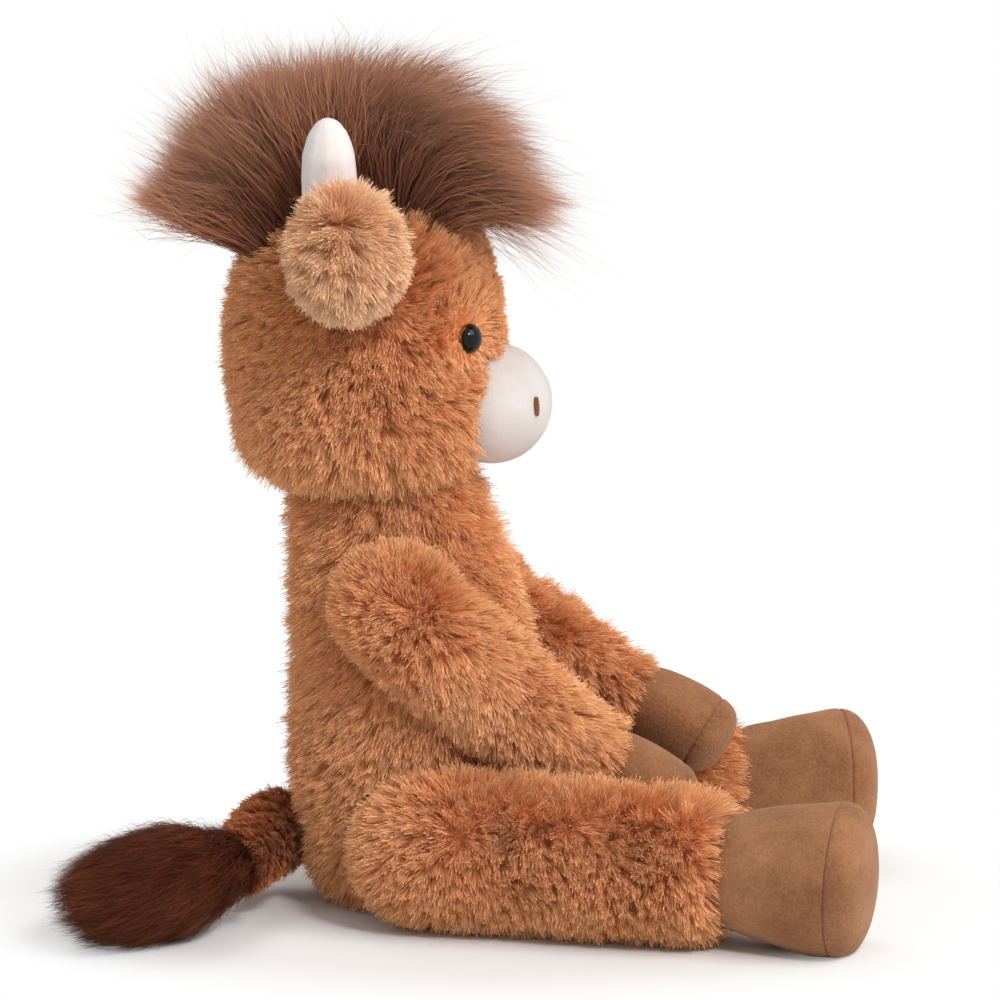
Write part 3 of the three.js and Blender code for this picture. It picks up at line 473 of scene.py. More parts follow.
# Stuffing: loose white fibre in the torso, head, arms and legs, and a linen bag of pellets in the
# seat. None of it is sewn; the covers hold it, and it only shows if a seam opens.
STUFFING_SLACK = 0.002
FIBRE_GRAIN, PELLET_GRAIN = 160, 300
FIBRE_WHITE = (0.86, 0.85, 0.82, 1.0)
LINEN = (0.69, 0.62, 0.52, 1.0)


def filling(name, node, body, slot, colour, grain):
    """A soft lump in the form of a CAD solid, with a grainy surface."""
    form = bmesh.new()
    form.from_mesh(frame["nodes"][node].data)
    bmesh.ops.remove_doubles(form, verts=form.verts, dist=1e-6)
    form = even_cells(form, GROUND_CELL)
    form.normal_update()
    for vertex in form.verts:
        vertex.co -= STUFFING_SLACK * vertex.normal
    mesh = bpy.data.meshes.new(name)
    form.to_mesh(mesh)
    form.free()
    if slot not in bpy.data.materials:
        material, shader, place = new_material(slot)
        shader.inputs["Base Color"].default_value = colour
        shader.inputs["Roughness"].default_value = 0.95
        lumps = place.node("ShaderNodeTexNoise", {}, {"Vector": place, "Scale": grain})
        bump = place.node("ShaderNodeBump", {}, {"Height": lumps, "Distance": 0.002})
        feed(shader.inputs["Normal"], bump)
    mesh.materials.append(bpy.data.materials[slot])
    lump = bpy.data.objects.new(name, mesh)
    bpy.context.scene.collection.objects.link(lump)
    soft_piece(lump, body, slot, 1.0, node)


filling("torso_fibre", "torso_stuffing", "torso", "fibre_white", FIBRE_WHITE, FIBRE_GRAIN)
filling("head_fibre", "head_stuffing", "head", "fibre_white", FIBRE_WHITE, FIBRE_GRAIN)
for limb in ("arm_left", "arm_right", "leg_left", "leg_right"):
    filling(limb + "_fibre", limb + "_stuffing", limb, "fibre_white", FIBRE_WHITE, FIBRE_GRAIN)
filling("pellets", "pellet_bag", "torso", "bag_linen", LINEN, PELLET_GRAIN)


# Threads: the gathering thread that draws the neck in, and the ladder stitch that closes the lower
# back after stuffing. Both are waxed brown sewing thread and lie deep in the pile.
THREAD_BROWN = (0.215, 0.068, 0.024, 1.0)
THREAD_TWIST = 900
NECK_DRAWN_IN = 0.011  # how far the thread lies under the tips of the pile


def smooth_object(name, form, *materials):
    """An object from a bmesh form, smooth shaded."""
    for face in form.faces:
        face.smooth = True
    mesh = bpy.data.meshes.new(name)
    form.to_mesh(mesh)
    form.free()
    for material in materials:
        mesh.materials.append(material)
    piece = bpy.data.objects.new(name, mesh)
    bpy.context.scene.collection.objects.link(piece)
    return piece


thread_brown, thread_shader, thread_place = new_material("thread_brown")
thread_shader.inputs["Base Color"].default_value = THREAD_BROWN
thread_shader.inputs["Roughness"].default_value = 0.5
twist = thread_place.node(
    "ShaderNodeTexWave", {"bands_direction": "DIAGONAL"}, {"Vector": thread_place, "Scale": THREAD_TWIST}
)
feed(thread_shader.inputs["Normal"], twist.node("ShaderNodeBump", {}, {"Height": twist, "Distance": 0.0002}))
frame["nodes"]["closing_stitch"].data.materials.clear()
frame["nodes"]["closing_stitch"].data.materials.append(thread_brown)

neck_low, neck_high = (Vector(v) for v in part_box("neck_thread"))
gather_form = bmesh.new()
ring = bmesh.ops.create_circle(gather_form, segments=12, radius=(neck_high.z - neck_low.z) / 2)
gather_radius = (neck_high.x - neck_low.x) / 2 - NECK_DRAWN_IN
gather_turn = Matrix.Translation((gather_radius, 0.0, 0.0)) @ Matrix.Rotation(math.pi / 2, 4, "X")
bmesh.ops.transform(gather_form, matrix=gather_turn, verts=gather_form.verts)
bmesh.ops.spin(
    gather_form,
    geom=ring["verts"] + gather_form.edges[:],
    cent=(0, 0, 0),
    axis=(0, 0, 1),
    angle=2 * math.pi,
    steps=64,
    use_merge=True,
)
bmesh.ops.recalc_face_normals(gather_form, faces=gather_form.faces)
bmesh.ops.translate(gather_form, vec=(neck_low + neck_high) / 2, verts=gather_form.verts)
neck_gather = smooth_object("neck_gather", gather_form, thread_brown)
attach(neck_gather, "neck")
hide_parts("neck_thread")


# Head cover: the same brown plush, sewn from a back, a brow and two cheek panels. Its pile is
# combed down at the back and up at the brow, and is clipped short round the eyes and the muzzle.
PILE_PROUD, BROW_CLIPPED, JOWL_PILE, CLIPPED_PILE = 0.0024, 0.0032, 0.0045, 0.002
HEAD_GROUND, FACE_GROUND, FACE_REACH = 0.0082, 0.0062, (0.012, 0.03)  # deep, shallow, where between
HEAD_FIBRES = 260000
BACK_COMBED = np.array([-0.25, 0.0, -0.6])
BROW_COMBED = np.array([0.1, 0.0, 0.5])
CHEEK_COMBED = np.array([0.12, 0.0, -0.3])
EYE_PARTED, EYE_CLIPPED = (0.009, 0.018), (0.006, 0.016)  # distances from an eye
BROW_REACH, JOWL_HEIGHTS = (0.015, 0.04), (0.172, 0.196)
MUZZLE_CLEAR = 0.0006
HEAD_MIDDLE = np.array(sum((Vector(v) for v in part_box("head_stuffing")), Vector()) / 2)
MUZZLE_LOW, MUZZLE_HIGH = (np.array(v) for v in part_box("muzzle"))


def middle_of(node):
    """The mean of a CAD solid's points."""
    return np.mean([vertex.co for vertex in frame["nodes"][node].data.vertices], axis=0)


def ease(values, low, high):
    """Rises smoothly from 0 at low to 1 at high."""
    share = np.clip((values - low) / (high - low), 0, 1)
    return share * share * (3 - 2 * share)


def from_face(points):
    """How far points are from the nearer eye and from the muzzle's edge."""
    eyes = [np.linalg.norm(points - middle_of("eye_" + side), axis=1) for side in ("left", "right")]
    muzzle_place = (points - (MUZZLE_LOW + MUZZLE_HIGH) / 2) / ((MUZZLE_HIGH - MUZZLE_LOW) / 2)
    rim = (np.linalg.norm(muzzle_place, axis=1) - 1) * (MUZZLE_HIGH - MUZZLE_LOW)[2] / 2
    return np.minimum.reduce(eyes), np.maximum(rim, 0)


def head_flow(points, normals):
    """Combed down at the back, up at the brow, tousled on the cheeks and parted round the eyes."""
    place = points - HEAD_MIDDLE
    back = ease(-place[:, 0], 0.0, 0.03)[:, None]
    brow = (ease(place[:, 0], -0.01, 0.02) * ease(place[:, 2], 0.0, 0.02))[:, None]
    flow = back * BACK_COMBED + brow * BROW_COMBED
    flow += (1 - back) * (1 - brow) * CHEEK_COMBED
    cheek = (1 - back) * (0.4 * swirl(points, 0.009, 8) + 0.3 * swirl(points, 0.03, 2))
    eye, _ = from_face(points)
    nearest = np.where(points[:, 1:2] > 0, middle_of("eye_left"), middle_of("eye_right"))
    parted = (1 - ease(eye, *EYE_PARTED))[:, None] * unit(points - nearest)
    return flow + cheek + parted + 0.12 * swirl(points, 0.03, 2)


def face_depth(points):
    """How deep the head's cloth lies: less round the eyes and the muzzle."""
    eye, rim = from_face(points)
    return FACE_GROUND + (HEAD_GROUND - FACE_GROUND) * ease(np.minimum(eye, rim), *FACE_REACH)


def head_length(points):
    """Pile a little proud of the form, longer on the jowls, shorter on the brow and round the eyes."""
    eye, _ = from_face(points)
    forward = points[:, 0] - HEAD_MIDDLE[0]
    reach = face_depth(points) + PILE_PROUD - BROW_CLIPPED * ease(forward, *BROW_REACH)
    reach += JOWL_PILE * (1 - ease(points[:, 2], *JOWL_HEIGHTS))
    return CLIPPED_PILE + (reach - CLIPPED_PILE) * ease(eye, *EYE_CLIPPED)


def in_muzzle(points):
    """Which points of the head's pile the muzzle takes up."""
    return within(points, "muzzle", MUZZLE_CLEAR)


head_ground = woven_ground("head_cover", face_depth)
head_pile = plush_pile(head_ground, HEAD_FIBRES, head_length, head_flow, 21, in_muzzle)
head = furred("head", head_ground, [head_pile], plush_brown)
soft_piece(head, "head", "plush_brown", 0.8, "head_cover")


# Muzzle: a smooth dome of short off-white velour, sewn into an opening in the plush and stuffed.
# The nostrils are small upright ovals of brown satin stitch, sewn through the velour.
# The muzzle's velour is a shaded copy of the cloth the horns are sewn from, painted darker: painted shade.
MUZZLE_PAINTED_SHADE = (0.74, 0.68, 0.65, 1.0)
MUZZLE_PAINTED_SHADE_MOTTLE = (0.69, 0.62, 0.585, 1.0)
NOSTRIL_BROWN = (0.300, 0.120, 0.050, 1.0)
MUZZLE_DENTS = 0.012
NOSTRIL_HALF_WIDTH, NOSTRIL_HALF_HEIGHT = 0.0015, 0.0036
STITCHES, STITCH_THICK = 13, 0.00062
STITCH_END, STITCH_RISE = 0.0004, 0.0007  # past the nostril's edge, and over the velour


def velour(name, shade, white):
    """Short off-white pile: soft mottling and a fine nap."""
    material, shader, place = new_material(name)
    cloud = place.node("ShaderNodeTexNoise", {}, {"Vector": place, "Scale": 70.0, "Detail": 3.0})
    stops = [(0.35, shade), (0.65, white)]
    colour = place.node("ShaderNodeValToRGB", {"stops": stops}, {0: cloud})
    nap = place.node("ShaderNodeTexNoise", {}, {"Vector": place, "Scale": 2600.0, "Detail": 2.0})
    feed(shader.inputs["Base Color"], colour)
    feed(shader.inputs["Normal"], place.node("ShaderNodeBump", {}, {"Height": nap, "Distance": 0.00025}))
    shader.inputs["Roughness"].default_value = 0.9
    shader.inputs["Sheen Weight"].default_value = 0.3
    shader.inputs["Sheen Roughness"].default_value = 0.4
    return material


velour_white = velour("velour_white", MUZZLE_PAINTED_SHADE_MOTTLE, MUZZLE_PAINTED_SHADE)
nostril_brown = thread_brown.copy()
nostril_brown.name = "nostril_brown"
nostril_brown.node_tree.nodes["Principled BSDF"].inputs["Base Color"].default_value = NOSTRIL_BROWN
muzzle_half = (MUZZLE_HIGH - MUZZLE_LOW) / 2
muzzle_half[0] = muzzle_half[2]
muzzle_middle = Vector((MUZZLE_HIGH[0] - muzzle_half[0], 0.0, (MUZZLE_LOW[2] + MUZZLE_HIGH[2]) / 2))
muzzle_form = bmesh.new()
bmesh.ops.create_uvsphere(muzzle_form, u_segments=72, v_segments=48, radius=1.0)
for vertex in muzzle_form.verts:
    dents = 1.0 + MUZZLE_DENTS * noise.noise(2.2 * vertex.co)
    vertex.co = muzzle_middle + Vector(dents * muzzle_half * np.array(vertex.co))
muzzle = smooth_object("muzzle_dome", muzzle_form, velour_white)
soft_piece(muzzle, "head", "velour_white", 1.0, "muzzle")

for side in ("left", "right"):
    low, high = (Vector(v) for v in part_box("nostril_" + side))
    centre = (low + high) / 2
    outward = Vector((np.array(centre) - np.array(muzzle_middle)) / muzzle_half**2).normalized()
    along = (Vector((0.0, 0.0, 1.0)) - outward * outward.z).normalized()
    across = along.cross(outward)
    surface = muzzle_middle + Vector(
        muzzle_half * unit((np.array(centre) - np.array(muzzle_middle)) / muzzle_half)
    )
    nostril_form = bmesh.new()
    for i in range(STITCHES):
        share = 2 * (i + 0.5) / STITCHES - 1
        half_width = NOSTRIL_HALF_WIDTH * math.sqrt(1 - share**2)
        sphere = bmesh.ops.create_uvsphere(nostril_form, u_segments=10, v_segments=8, radius=1.0)
        turn = Matrix((across, along, outward)).transposed()
        size = Matrix.Diagonal((half_width + STITCH_END, STITCH_THICK / 2, STITCH_RISE))
        for vertex in sphere["verts"]:
            vertex.co = surface + along * (NOSTRIL_HALF_HEIGHT * share) + turn @ (size @ vertex.co)
    nostril = smooth_object("nostril_stitch_" + side, nostril_form, nostril_brown)
    soft_piece(nostril, "head", "thread_brown", 1.0, "nostril_" + side)


# Eyes: black safety eyes. A hard gloss dome stands on a flange, its shank
# passes through the cloth, and a plain moulded washer locks it from behind. A thin brown band
# round the foot of each dome is a painted reflection of the brown pile round the eye.
EYE_BLACK = (0.004, 0.003, 0.003, 1.0)
# A painted reflection of the brown pile, in a band round the foot of each eye.
EYE_PAINTED_REFLECTION = (0.16, 0.055, 0.018, 1.0)
EYE_RADIUS, EYE_HEIGHT, REFLECTION_BAND = 0.0056, 0.0046, 0.0007
SHANK_RADIUS, FLANGE_THICK = 0.0018, 0.0006
WASHER_WHITE = (0.79, 0.79, 0.75, 1.0)

eye_black, eye_shader, _ = new_material("eye_black")
eye_shader.inputs["Base Color"].default_value = EYE_BLACK
eye_shader.inputs["Roughness"].default_value = 0.05
eye_shader.inputs["Specular IOR Level"].default_value = 0.25
eye_painted_reflection, reflection_band_shader, _ = new_material("eye_painted_reflection")
reflection_band_shader.inputs["Base Color"].default_value = EYE_PAINTED_REFLECTION
reflection_band_shader.inputs["Roughness"].default_value = 0.2
reflection_band_shader.inputs["Specular IOR Level"].default_value = 0.25
washer_white, washer_shader, _ = new_material("washer_white")
washer_shader.inputs["Base Color"].default_value = WASHER_WHITE
washer_shader.inputs["Roughness"].default_value = 0.45

for side in ("left", "right"):
    washer_middle = Vector(middle_of("eye_washer_" + side))
    points = [vertex.co for vertex in frame["nodes"]["eye_" + side].data.vertices]
    axis = (Vector(middle_of("eye_" + side)) - washer_middle).normalized()
    heights = [(point - washer_middle).dot(axis) for point in points]
    low, base = min(heights), max(heights) - EYE_HEIGHT
    outline = [(0.0, low), (SHANK_RADIUS, low), (SHANK_RADIUS, base - FLANGE_THICK)]
    outline += [(EYE_RADIUS, base - FLANGE_THICK), (EYE_RADIUS, base)]
    for i in range(1, 13):
        angle = math.radians(7.5 * i)
        outline.append((EYE_RADIUS * math.cos(angle), base + EYE_HEIGHT * math.sin(angle)))
    eye_form = bmesh.new()
    line = [eye_form.verts.new((r, 0.0, z)) for r, z in outline]
    edges = [eye_form.edges.new(pair) for pair in zip(line, line[1:])]
    bmesh.ops.spin(
        eye_form,
        geom=line + edges,
        cent=(0, 0, 0),
        axis=(0, 0, 1),
        angle=2 * math.pi,
        steps=48,
        use_merge=True,
    )
    bmesh.ops.remove_doubles(eye_form, verts=eye_form.verts, dist=1e-6)
    bmesh.ops.recalc_face_normals(eye_form, faces=eye_form.faces)
    for face in eye_form.faces:
        # Faces at the foot of the dome take the brown band, a painted reflection.
        face.material_index = int(face.calc_center_median().z < base + REFLECTION_BAND)
    turn = Matrix.Translation(washer_middle) @ axis.to_track_quat("Z", "Y").to_matrix().to_4x4()
    bmesh.ops.transform(eye_form, matrix=turn, verts=eye_form.verts)
    eye = smooth_object("eye_dome_" + side, eye_form, eye_black, eye_painted_reflection)
    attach(eye, "head")
    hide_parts("eye_" + side)
    frame["nodes"]["eye_washer_" + side].data.materials.clear()
    frame["nodes"]["eye_washer_" + side].data.materials.append(washer_white)


# Horns: two fingers of the muzzle's velour, turned right side out, stuffed firmly and sewn into
# the seam beside the mane.
HORN_CELL = 0.0016
# The horns' velour is a lit copy of the muzzle's cloth, painted lighter: painted light.
HORN_PAINTED_LIGHT = (0.92, 0.86, 0.83, 1.0)
HORN_PAINTED_LIGHT_MOTTLE = (0.87, 0.79, 0.75, 1.0)

# A lit copy of the muzzle's velour: painted light.
horn_painted_light = velour("horn_painted_light", HORN_PAINTED_LIGHT_MOTTLE, HORN_PAINTED_LIGHT)
for side in ("left", "right"):
    horn_form = bmesh.new()
    horn_form.from_mesh(frame["nodes"]["horn_" + side].data)
    bmesh.ops.remove_doubles(horn_form, verts=horn_form.verts, dist=1e-6)
    horn = smooth_object("horn_velour_" + side, even_cells(horn_form, HORN_CELL), horn_painted_light)
    soft_piece(horn, "head", "velour_white", 1.0, "horn_" + side)


# Ears: leaves of light tan plush, two panels each, sewn flat into the side seam so that they stick
# out level. The pile hangs forward and down on them and hides their edge seam.
EAR_PILE, EAR_GROUND, EAR_FIBRES = 0.0115, 0.0078, 70000
EAR_COMBED = np.array([0.2, 0.0, -0.7])
# Colours from root to tip: the roots are painted darker than the tips, as painted shade deep in the pile.
EAR_STOPS = [
    (0.0, (0.915, 0.450, 0.222, 1.0)),
    (0.45, (0.955, 0.550, 0.300, 1.0)),
    (1.0, (0.980, 0.660, 0.415, 1.0)),
]


def ear_flow(points, normals):
    """The ears' pile hangs forward and down, in small tousled locks."""
    return EAR_COMBED + 0.35 * swirl(points, 0.014, 3)


plush_tan = pile_finish("plush_tan", EAR_STOPS)
for side, seed in (("left", 31), ("right", 32)):
    ear_ground = woven_ground("ear_" + side, EAR_GROUND)
    ear_pile = plush_pile(ear_ground, EAR_FIBRES, EAR_PILE, ear_flow, seed)
    ear = furred("ear_pile_" + side, ear_ground, [ear_pile], plush_tan)
    soft_piece(ear, "ear_" + side, "plush_tan", 0.8, "ear_" + side)


# Mane: a strip of dark long-pile fur sewn along the top of the head. At the back it falls outward
# over the nape, at the top it stands up, and at the front it arches over the brow as a forelock.
MANE_STRANDS, MANE_BACKING = 34000, 0.0008
MANE_FIBRE, MANE_CLUMP, MANE_LEVELS = 0.00036, 0.0042, 6
MANE_HALF_WIDTH, MANE_LOWEST = 0.023, 0.242
MANE_BACK, MANE_FRONT = -0.056, 0.006
MANE_PLACES = (0.0, 0.2, 0.4, 0.55, 0.7, 0.85, 1.0)  # from the nape to the brow
MANE_BENDS = {
    "x": (-0.084, -0.072, -0.052, -0.034, -0.012, 0.010, 0.022),
    "z": (0.258, 0.283, 0.296, 0.305, 0.316, 0.302, 0.272),
}
MANE_TIPS = {
    "x": (-0.099, -0.088, -0.063, -0.026, 0.020, 0.045, 0.056),
    "z": (0.264, 0.295, 0.316, 0.321, 0.312, 0.288, 0.260),
}
MANE_STRAYS, MANE_FRIZZ = 0.2, 0.003
STRAY_REACH, FORELOCK_HANG = 0.008, 0.022
MANE_TOP, MANE_OVER = 0.320, 0.012  # where the crest ends, and how far strays stand over it
# Dark roots and light tips: painted shade in the mane's core and painted highlights at its ends.
MANE_STOPS = [
    (0.0, (0.105, 0.029, 0.013, 1.0)),
    (0.4, (0.335, 0.128, 0.068, 1.0)),
    (1.0, (0.620, 0.330, 0.205, 1.0)),
]


def on_crown(points):
    """Which points of the head's cloth lie under the mane's strip."""
    strip = (np.abs(points[:, 1]) < MANE_HALF_WIDTH) & (points[:, 2] > MANE_LOWEST)
    return strip & (points[:, 0] < MANE_FRONT)


mane_brown = pile_finish("mane_brown", MANE_STOPS, 0.5, 0.55, 1.45, 0.12)
rng = np.random.default_rng(41)
roots, normals, area = roots_on(head_ground, MANE_STRANDS, rng, on_crown)
clump_of = clumps_of(roots, area, MANE_CLUMP)
clump_lean = rng.normal(size=(MANE_STRANDS, 3))[clump_of]
share = (roots[:, 0] - MANE_BACK) / (MANE_FRONT - MANE_BACK)
share += 0.06 * clump_lean[:, 0] + 0.05 * rng.normal(size=MANE_STRANDS)
fan = roots[:, 1] * 1.25 + 0.006 * clump_lean[:, 1] + 0.003 * rng.normal(size=MANE_STRANDS)
bend_x, bend_z = (np.interp(share, MANE_PLACES, MANE_BENDS[k]) for k in "xz")
tip_x, tip_z = (np.interp(share, MANE_PLACES, MANE_TIPS[k]) for k in "xz")
bends = np.column_stack([bend_x, 1.1 * roots[:, 1], bend_z])
tips = np.column_stack([tip_x, fan, tip_z])
grown = np.clip(rng.normal(0.9, 0.15, MANE_STRANDS), 0.4, 1.12)[:, None]
bends = roots + grown * (bends - roots)
tips = roots + grown * (tips - roots) + 0.004 * clump_lean
tips += rng.uniform(0.1, 0.6, (MANE_STRANDS, 1)) * (tips[clump_of] - tips)
strays = rng.random(MANE_STRANDS) < MANE_STRAYS
tips[strays] += STRAY_REACH * rng.normal(size=(strays.sum(), 3))
forelock = strays & (share > 0.85)
tips[forelock, 2] -= FORELOCK_HANG * rng.random(forelock.sum())
over = np.maximum(tips[:, 2] - MANE_TOP, 0)
tips[:, 2] += MANE_OVER * np.tanh(over / MANE_OVER) - over
tint = 0.45 + 0.2 * rng.normal(size=MANE_STRANDS)[clump_of] + 0.1 * rng.normal(size=MANE_STRANDS)
backing_form = bmesh.new()
backing_form.from_mesh(head_ground)
bare = [face for face in backing_form.faces if not on_crown(np.array([face.calc_center_median()]))[0]]
bmesh.ops.delete(backing_form, geom=bare, context="FACES")
for vertex in backing_form.verts:
    vertex.co += MANE_BACKING * vertex.normal
mane_backing = bpy.data.meshes.new("mane_backing")
backing_form.to_mesh(mane_backing)
backing_form.free()
mane_hair = fibres(roots, normals, bends, tips, MANE_FIBRE, MANE_LEVELS, tint, rng, MANE_FRIZZ)
mane = furred("mane_pile", mane_backing, [mane_hair], mane_brown)
soft_piece(mane, "head", "mane_brown", 0.6, "mane")


# Arms and legs: tapered sleeves of the brown plush, sewn on at the shoulders and hips. Each ends
# in a hoof of suede cloth that flares out of the pile and is closed by a round suede sole.
SLEEVE_PILE = 0.0098
SLEEVE_FIBRES = {"arm": 115000, "leg": 150000}
SLEEVE_SAG = {"arm": 0.006, "leg": 0.0}  # how far the middle hangs under a straight line
SLEEVE_COMBED, SLEEVE_HUNG = 0.45, np.array([0.0, 0.0, -0.4])
ROOT_COMBED, ROOT_REACH = 0.9, 0.03  # the pile at the root falls over the torso's
HOOF_CLEAR = 0.0004
SUEDE_THICK = 0.0014
SUEDE_TUCK, SUEDE_GATHER = 0.014, 0.006  # of the hoof inside the sleeve
SEAM_DIP, SEAM_HALF = 0.0008, 0.0014
PUCKERS, PUCKER_DEPTH, PUCKER_REACH = 34, 0.00022, 0.004
SUEDE_DENTS, DENTS_PER_METRE = 0.0009, 70.0
SUEDE_SHEEN = (1.0, 0.68, 0.45, 1.0)
SUEDE_DARK = (0.225, 0.090, 0.039, 1.0)
SUEDE_LIGHT = (0.395, 0.178, 0.084, 1.0)


def suede():
    """Brushed suede cloth: soft patches where the nap lies another way, and a fine grain."""
    material, shader, place = new_material("suede_brown")
    patches = place.node("ShaderNodeTexNoise", {}, {"Vector": place, "Scale": 60.0, "Detail": 4.0})
    grain = place.node("ShaderNodeTexNoise", {}, {"Vector": place, "Scale": 900.0, "Detail": 3.0})
    tone = patches * 0.6 + grain * 0.4
    stops = [(0.36, SUEDE_DARK), (0.64, SUEDE_LIGHT)]
    feed(shader.inputs["Base Color"], place.node("ShaderNodeValToRGB", {"stops": stops}, {0: tone}))
    feed(shader.inputs["Normal"], place.node("ShaderNodeBump", {}, {"Height": grain, "Distance": 0.0005}))
    shader.inputs["Roughness"].default_value = 1.0
    shader.inputs["Specular IOR Level"].default_value = 0.15
    shader.inputs["Sheen Weight"].default_value = 0.25
    shader.inputs["Sheen Roughness"].default_value = 0.6
    shader.inputs["Sheen Tint"].default_value = SUEDE_SHEEN
    return material


def turned(name, outline, start, axis, material, seam):
    """A cloth shell spun round a limb's axis, with small puckers beside its seam."""
    form = bmesh.new()
    line = [form.verts.new((r, 0.0, z)) for z, r in outline]
    closed = outline[0][1] > 1e-6
    pairs = list(zip(line, line[1:])) + ([(line[-1], line[0])] if closed else [])
    edges = [form.edges.new(pair) for pair in pairs]
    bmesh.ops.spin(
        form,
        geom=line + edges,
        cent=(0, 0, 0),
        axis=(0, 0, 1),
        angle=2 * math.pi,
        steps=96,
        use_merge=True,
    )
    bmesh.ops.remove_doubles(form, verts=form.verts, dist=1e-6)
    bmesh.ops.recalc_face_normals(form, faces=form.faces)
    turn = axis.to_track_quat("Z", "Y").to_matrix()
    for vertex in form.verts:
        angle = math.atan2(vertex.co.y, vertex.co.x)
        near = math.exp(-(((vertex.co.z - seam) / PUCKER_REACH) ** 2))
        pucker = PUCKER_DEPTH * near * math.sin(PUCKERS * angle)
        dent = SUEDE_DENTS * noise.noise(vertex.co * DENTS_PER_METRE + 5.0 * axis)
        wide = 1 + (pucker + dent) / max(0.004, vertex.co.xy.length)
        vertex.co = start + turn @ Vector((wide * vertex.co.x, wide * vertex.co.y, vertex.co.z))
        vertex.co.z = max(vertex.co.z, FLOOR)
    return smooth_object(name, form, material)


def rounded(outline, steps):
    """Points of a smooth line through an outline's points."""
    places = np.arange(len(outline))
    fine = np.linspace(0, len(outline) - 1, steps * (len(outline) - 1) + 1)
    points = np.column_stack([np.interp(fine, places, [p[i] for p in outline]) for i in (0, 1)])
    for _ in range(2 * steps):
        points[1:-1] = (points[:-2] + 2 * points[1:-1] + points[2:]) / 4
    return [tuple(point) for point in points]


suede_brown = suede()
joint_places = {joint["child"]: Vector(joint["pos_m"]) for joint in frame["joints"]}
for limb, seed in (("arm_left", 51), ("arm_right", 52), ("leg_left", 53), ("leg_right", 54)):
    start = joint_places[limb]
    axis = (Vector(middle_of(limb + "_sole")) - start).normalized()
    spans = {}
    for piece in ("hoof", "sole"):
        points = frame["nodes"][limb + "_" + piece].data.vertices
        offsets = np.array([vertex.co - start for vertex in points])
        heights = offsets @ np.array(axis)
        radii = np.linalg.norm(offsets - heights[:, None] * np.array(axis), axis=1)
        spans[piece] = (heights, radii)
    heights, radii = spans["hoof"]
    cuff, seam = heights.min(), heights.max()
    cuff_radius = radii[heights < cuff + 0.001].max()
    seam_radius = radii[heights > seam - 0.001].max()
    end = spans["sole"][0].max()

    sleeve_ground = woven_ground(limb + "_sleeve", PLUSH_GROUND)
    toward_hoof = np.array(axis)
    for vertex in sleeve_ground.vertices:
        along = min(max((vertex.co - start).dot(axis) / cuff, 0.0), 1.0)
        vertex.co.z -= SLEEVE_SAG[limb[:3]] * math.sin(math.pi * along)

    def sleeve_flow(points, normals):
        """Toward the hoof and down, in tousled locks, and back over the torso at the root."""
        loose = 0.55 * swirl(points, 0.024, seed) + 0.35 * swirl(points, 0.009, seed)
        along = (points - np.array(start)) @ toward_hoof
        sewn = ROOT_COMBED * (1 - ease(along, 0.0, ROOT_REACH))[:, None]
        return (SLEEVE_COMBED - sewn) * toward_hoof + SLEEVE_HUNG + loose

    def in_hoof(points):
        """Which points of the sleeve's pile the hoof takes up."""
        return within(points, limb + "_hoof", HOOF_CLEAR)

    pile = plush_pile(sleeve_ground, SLEEVE_FIBRES[limb[:3]], SLEEVE_PILE, sleeve_flow, seed, in_hoof)
    sleeve = furred(limb + "_pile", sleeve_ground, [pile], plush_brown)
    soft_piece(sleeve, limb, "plush_brown", 0.8, limb + "_sleeve")

    outside = rounded(
        [
            (cuff - SUEDE_TUCK, cuff_radius - SUEDE_GATHER),
            (cuff - 0.4 * SUEDE_TUCK, cuff_radius - 0.6 * SUEDE_GATHER),
            (cuff, cuff_radius),
            ((cuff + seam) / 2, (cuff_radius + seam_radius) / 2 + 0.0008),
            (seam - 2 * SEAM_HALF, seam_radius),
            (seam - 0.3 * SEAM_HALF, seam_radius - 0.25 * SEAM_DIP),
            (seam, seam_radius - SEAM_DIP),
        ],
        6,
    )
    inside = [(z, r - SUEDE_THICK) for z, r in reversed(outside)]
    hoof = turned(limb + "_suede", outside + inside, start, axis, suede_brown, seam)
    soft_piece(hoof, limb, "suede_brown", 1.0, limb + "_hoof")

    dome = [
        (seam + 0.00005, seam_radius - SEAM_DIP),
        (seam + 0.3 * SEAM_HALF, seam_radius - 0.25 * SEAM_DIP),
    ]
    for i in range(13):
        angle = math.radians(90 * i / 12)
        dome.append(
            (
                seam + SEAM_HALF + (end - seam - SEAM_HALF) * math.sin(angle),
                (seam_radius - 0.0002) * math.cos(angle) ** 0.7,
            )
        )
    dome[-1] = (end, 0.0)
    under = [(z - SUEDE_THICK, r * 0.97) for z, r in dome[2:]]
    outline = list(reversed(dome)) + under
    sole = turned(limb + "_end", outline, start, axis, suede_brown, seam)
    soft_piece(sole, limb, "suede_brown", 1.0, limb + "_sole")


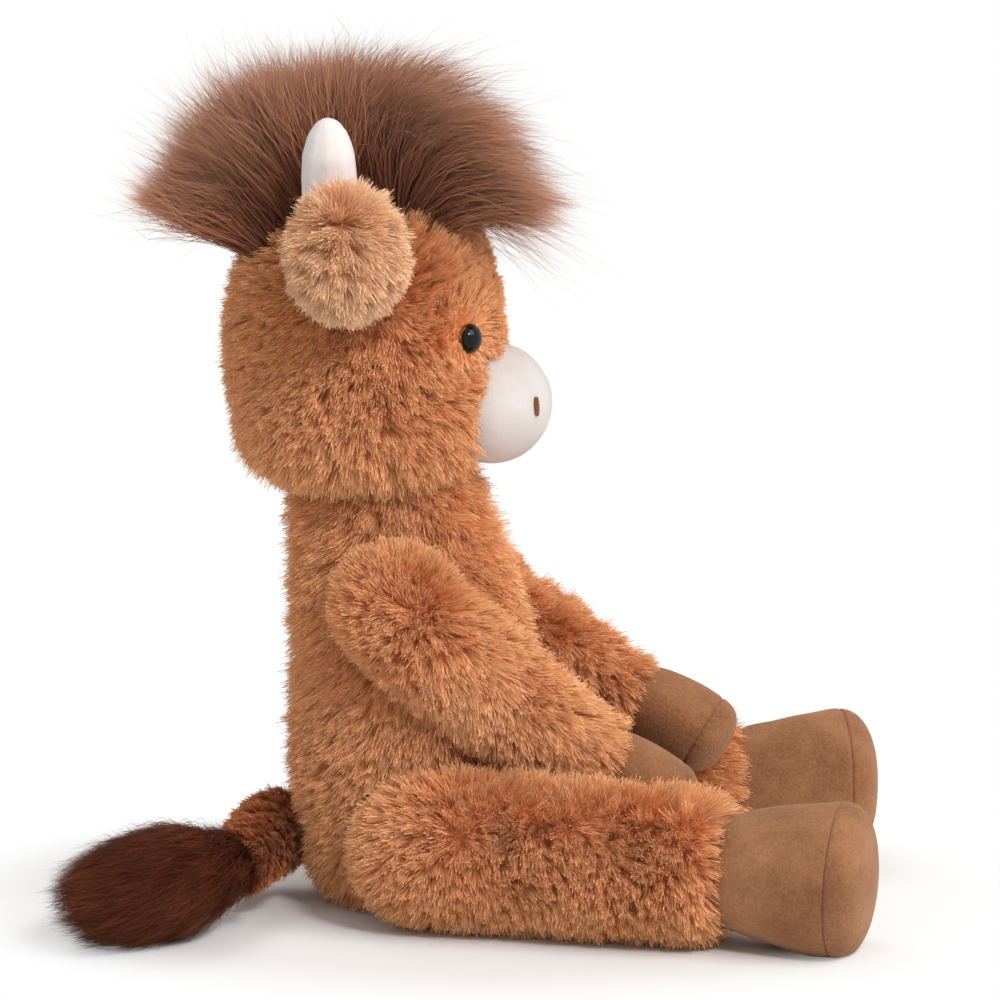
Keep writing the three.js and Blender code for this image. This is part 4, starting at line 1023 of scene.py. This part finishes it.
# Tail: a thin plush stem sewn into the back seam, with a tuft of dark long-pile fur at its end.
# It is not stuffed and lies on the table beside the toy.
STEM_GROUND, STEM_PILE, STEM_FIBRES = 0.0045, 0.0075, 26000
STEM_CELL, STEM_CLUMP, STEM_COMBED = 0.002, 0.003, 1.5
TUFT_GROUND, TUFT_LONG, TUFT_SHORT = 0.0105, 0.025, 0.012
TUFT_STRANDS, TUFT_CLUMP, TUFT_LEVELS, TUFT_FRIZZ = 24000, 0.005, 5, 0.0025
TUFT_COMBED = np.array([-0.88, -0.45, -0.15])
# The stem's pile is painted darker and redder than the brown plush it is cut from, as painted shade behind
# the toy, and its roots are painted darker still as painted shade deep in the pile.
STEM_PAINTED_SHADE_STOPS = [
    (0.0, (0.480, 0.150, 0.045, 1.0)),
    (0.45, (0.640, 0.240, 0.085, 1.0)),
    (1.0, (0.780, 0.360, 0.150, 1.0)),
]
# Colours from root to tip: the roots are painted darker than the tips, as painted shade deep in the tuft.
TUFT_STOPS = [
    (0.0, (0.026, 0.005, 0.002, 1.0)),
    (0.5, (0.060, 0.012, 0.005, 1.0)),
    (1.0, (0.185, 0.055, 0.025, 1.0)),
]

tuft_middle = middle_of("tail_tuft")
tail_axis = unit(tuft_middle - middle_of("tail_stem"))


def tuft_depth(points):
    """How deep the tuft's cloth lies: none where it is sewn to the stem."""
    return TUFT_GROUND * ease((points - tuft_middle) @ tail_axis, -0.044, -0.012)


stem_ground = woven_ground("tail_stem", STEM_GROUND, STEM_CELL)
tuft_ground = woven_ground("tail_tuft", tuft_depth)


def along_tail(points, normals):
    """The stem's pile lies toward the tuft."""
    return STEM_COMBED * tail_axis + 0.25 * swirl(points, 0.02, 6)


def down_tuft(points, normals):
    """The tuft's hair lies flat, away from the toy and down."""
    return 3.2 * TUFT_COMBED + 0.35 * swirl(points, 0.02, 7)


def tuft_length(points):
    """Short hair beside the stem and long hair from the middle on."""
    along = (points - tuft_middle) @ tail_axis
    return TUFT_SHORT + (TUFT_LONG - TUFT_SHORT) * ease(along, -0.030, 0.0)


# A shaded copy of the brown plush: painted shade.
stem_painted_shade = pile_finish("stem_painted_shade", STEM_PAINTED_SHADE_STOPS)
stem_pile = plush_pile(stem_ground, STEM_FIBRES, STEM_PILE, along_tail, 61, clump=STEM_CLUMP)
stem = furred("tail_stem_pile", stem_ground, [stem_pile], stem_painted_shade)
soft_piece(stem, "tail", "plush_brown", 0.8, "tail_stem")
tuft_brown = pile_finish("tuft_brown", TUFT_STOPS, 0.45, 0.1, 1.9, 0.03)
tuft_hair = plush_pile(
    tuft_ground,
    TUFT_STRANDS,
    tuft_length,
    down_tuft,
    62,
    clump=TUFT_CLUMP,
    levels=TUFT_LEVELS,
    frizz=TUFT_FRIZZ,
)
tuft = furred("tail_tuft_pile", tuft_ground, [tuft_hair], tuft_brown)
soft_piece(tuft, "tail", "tuft_brown", 0.6, "tail_tuft")
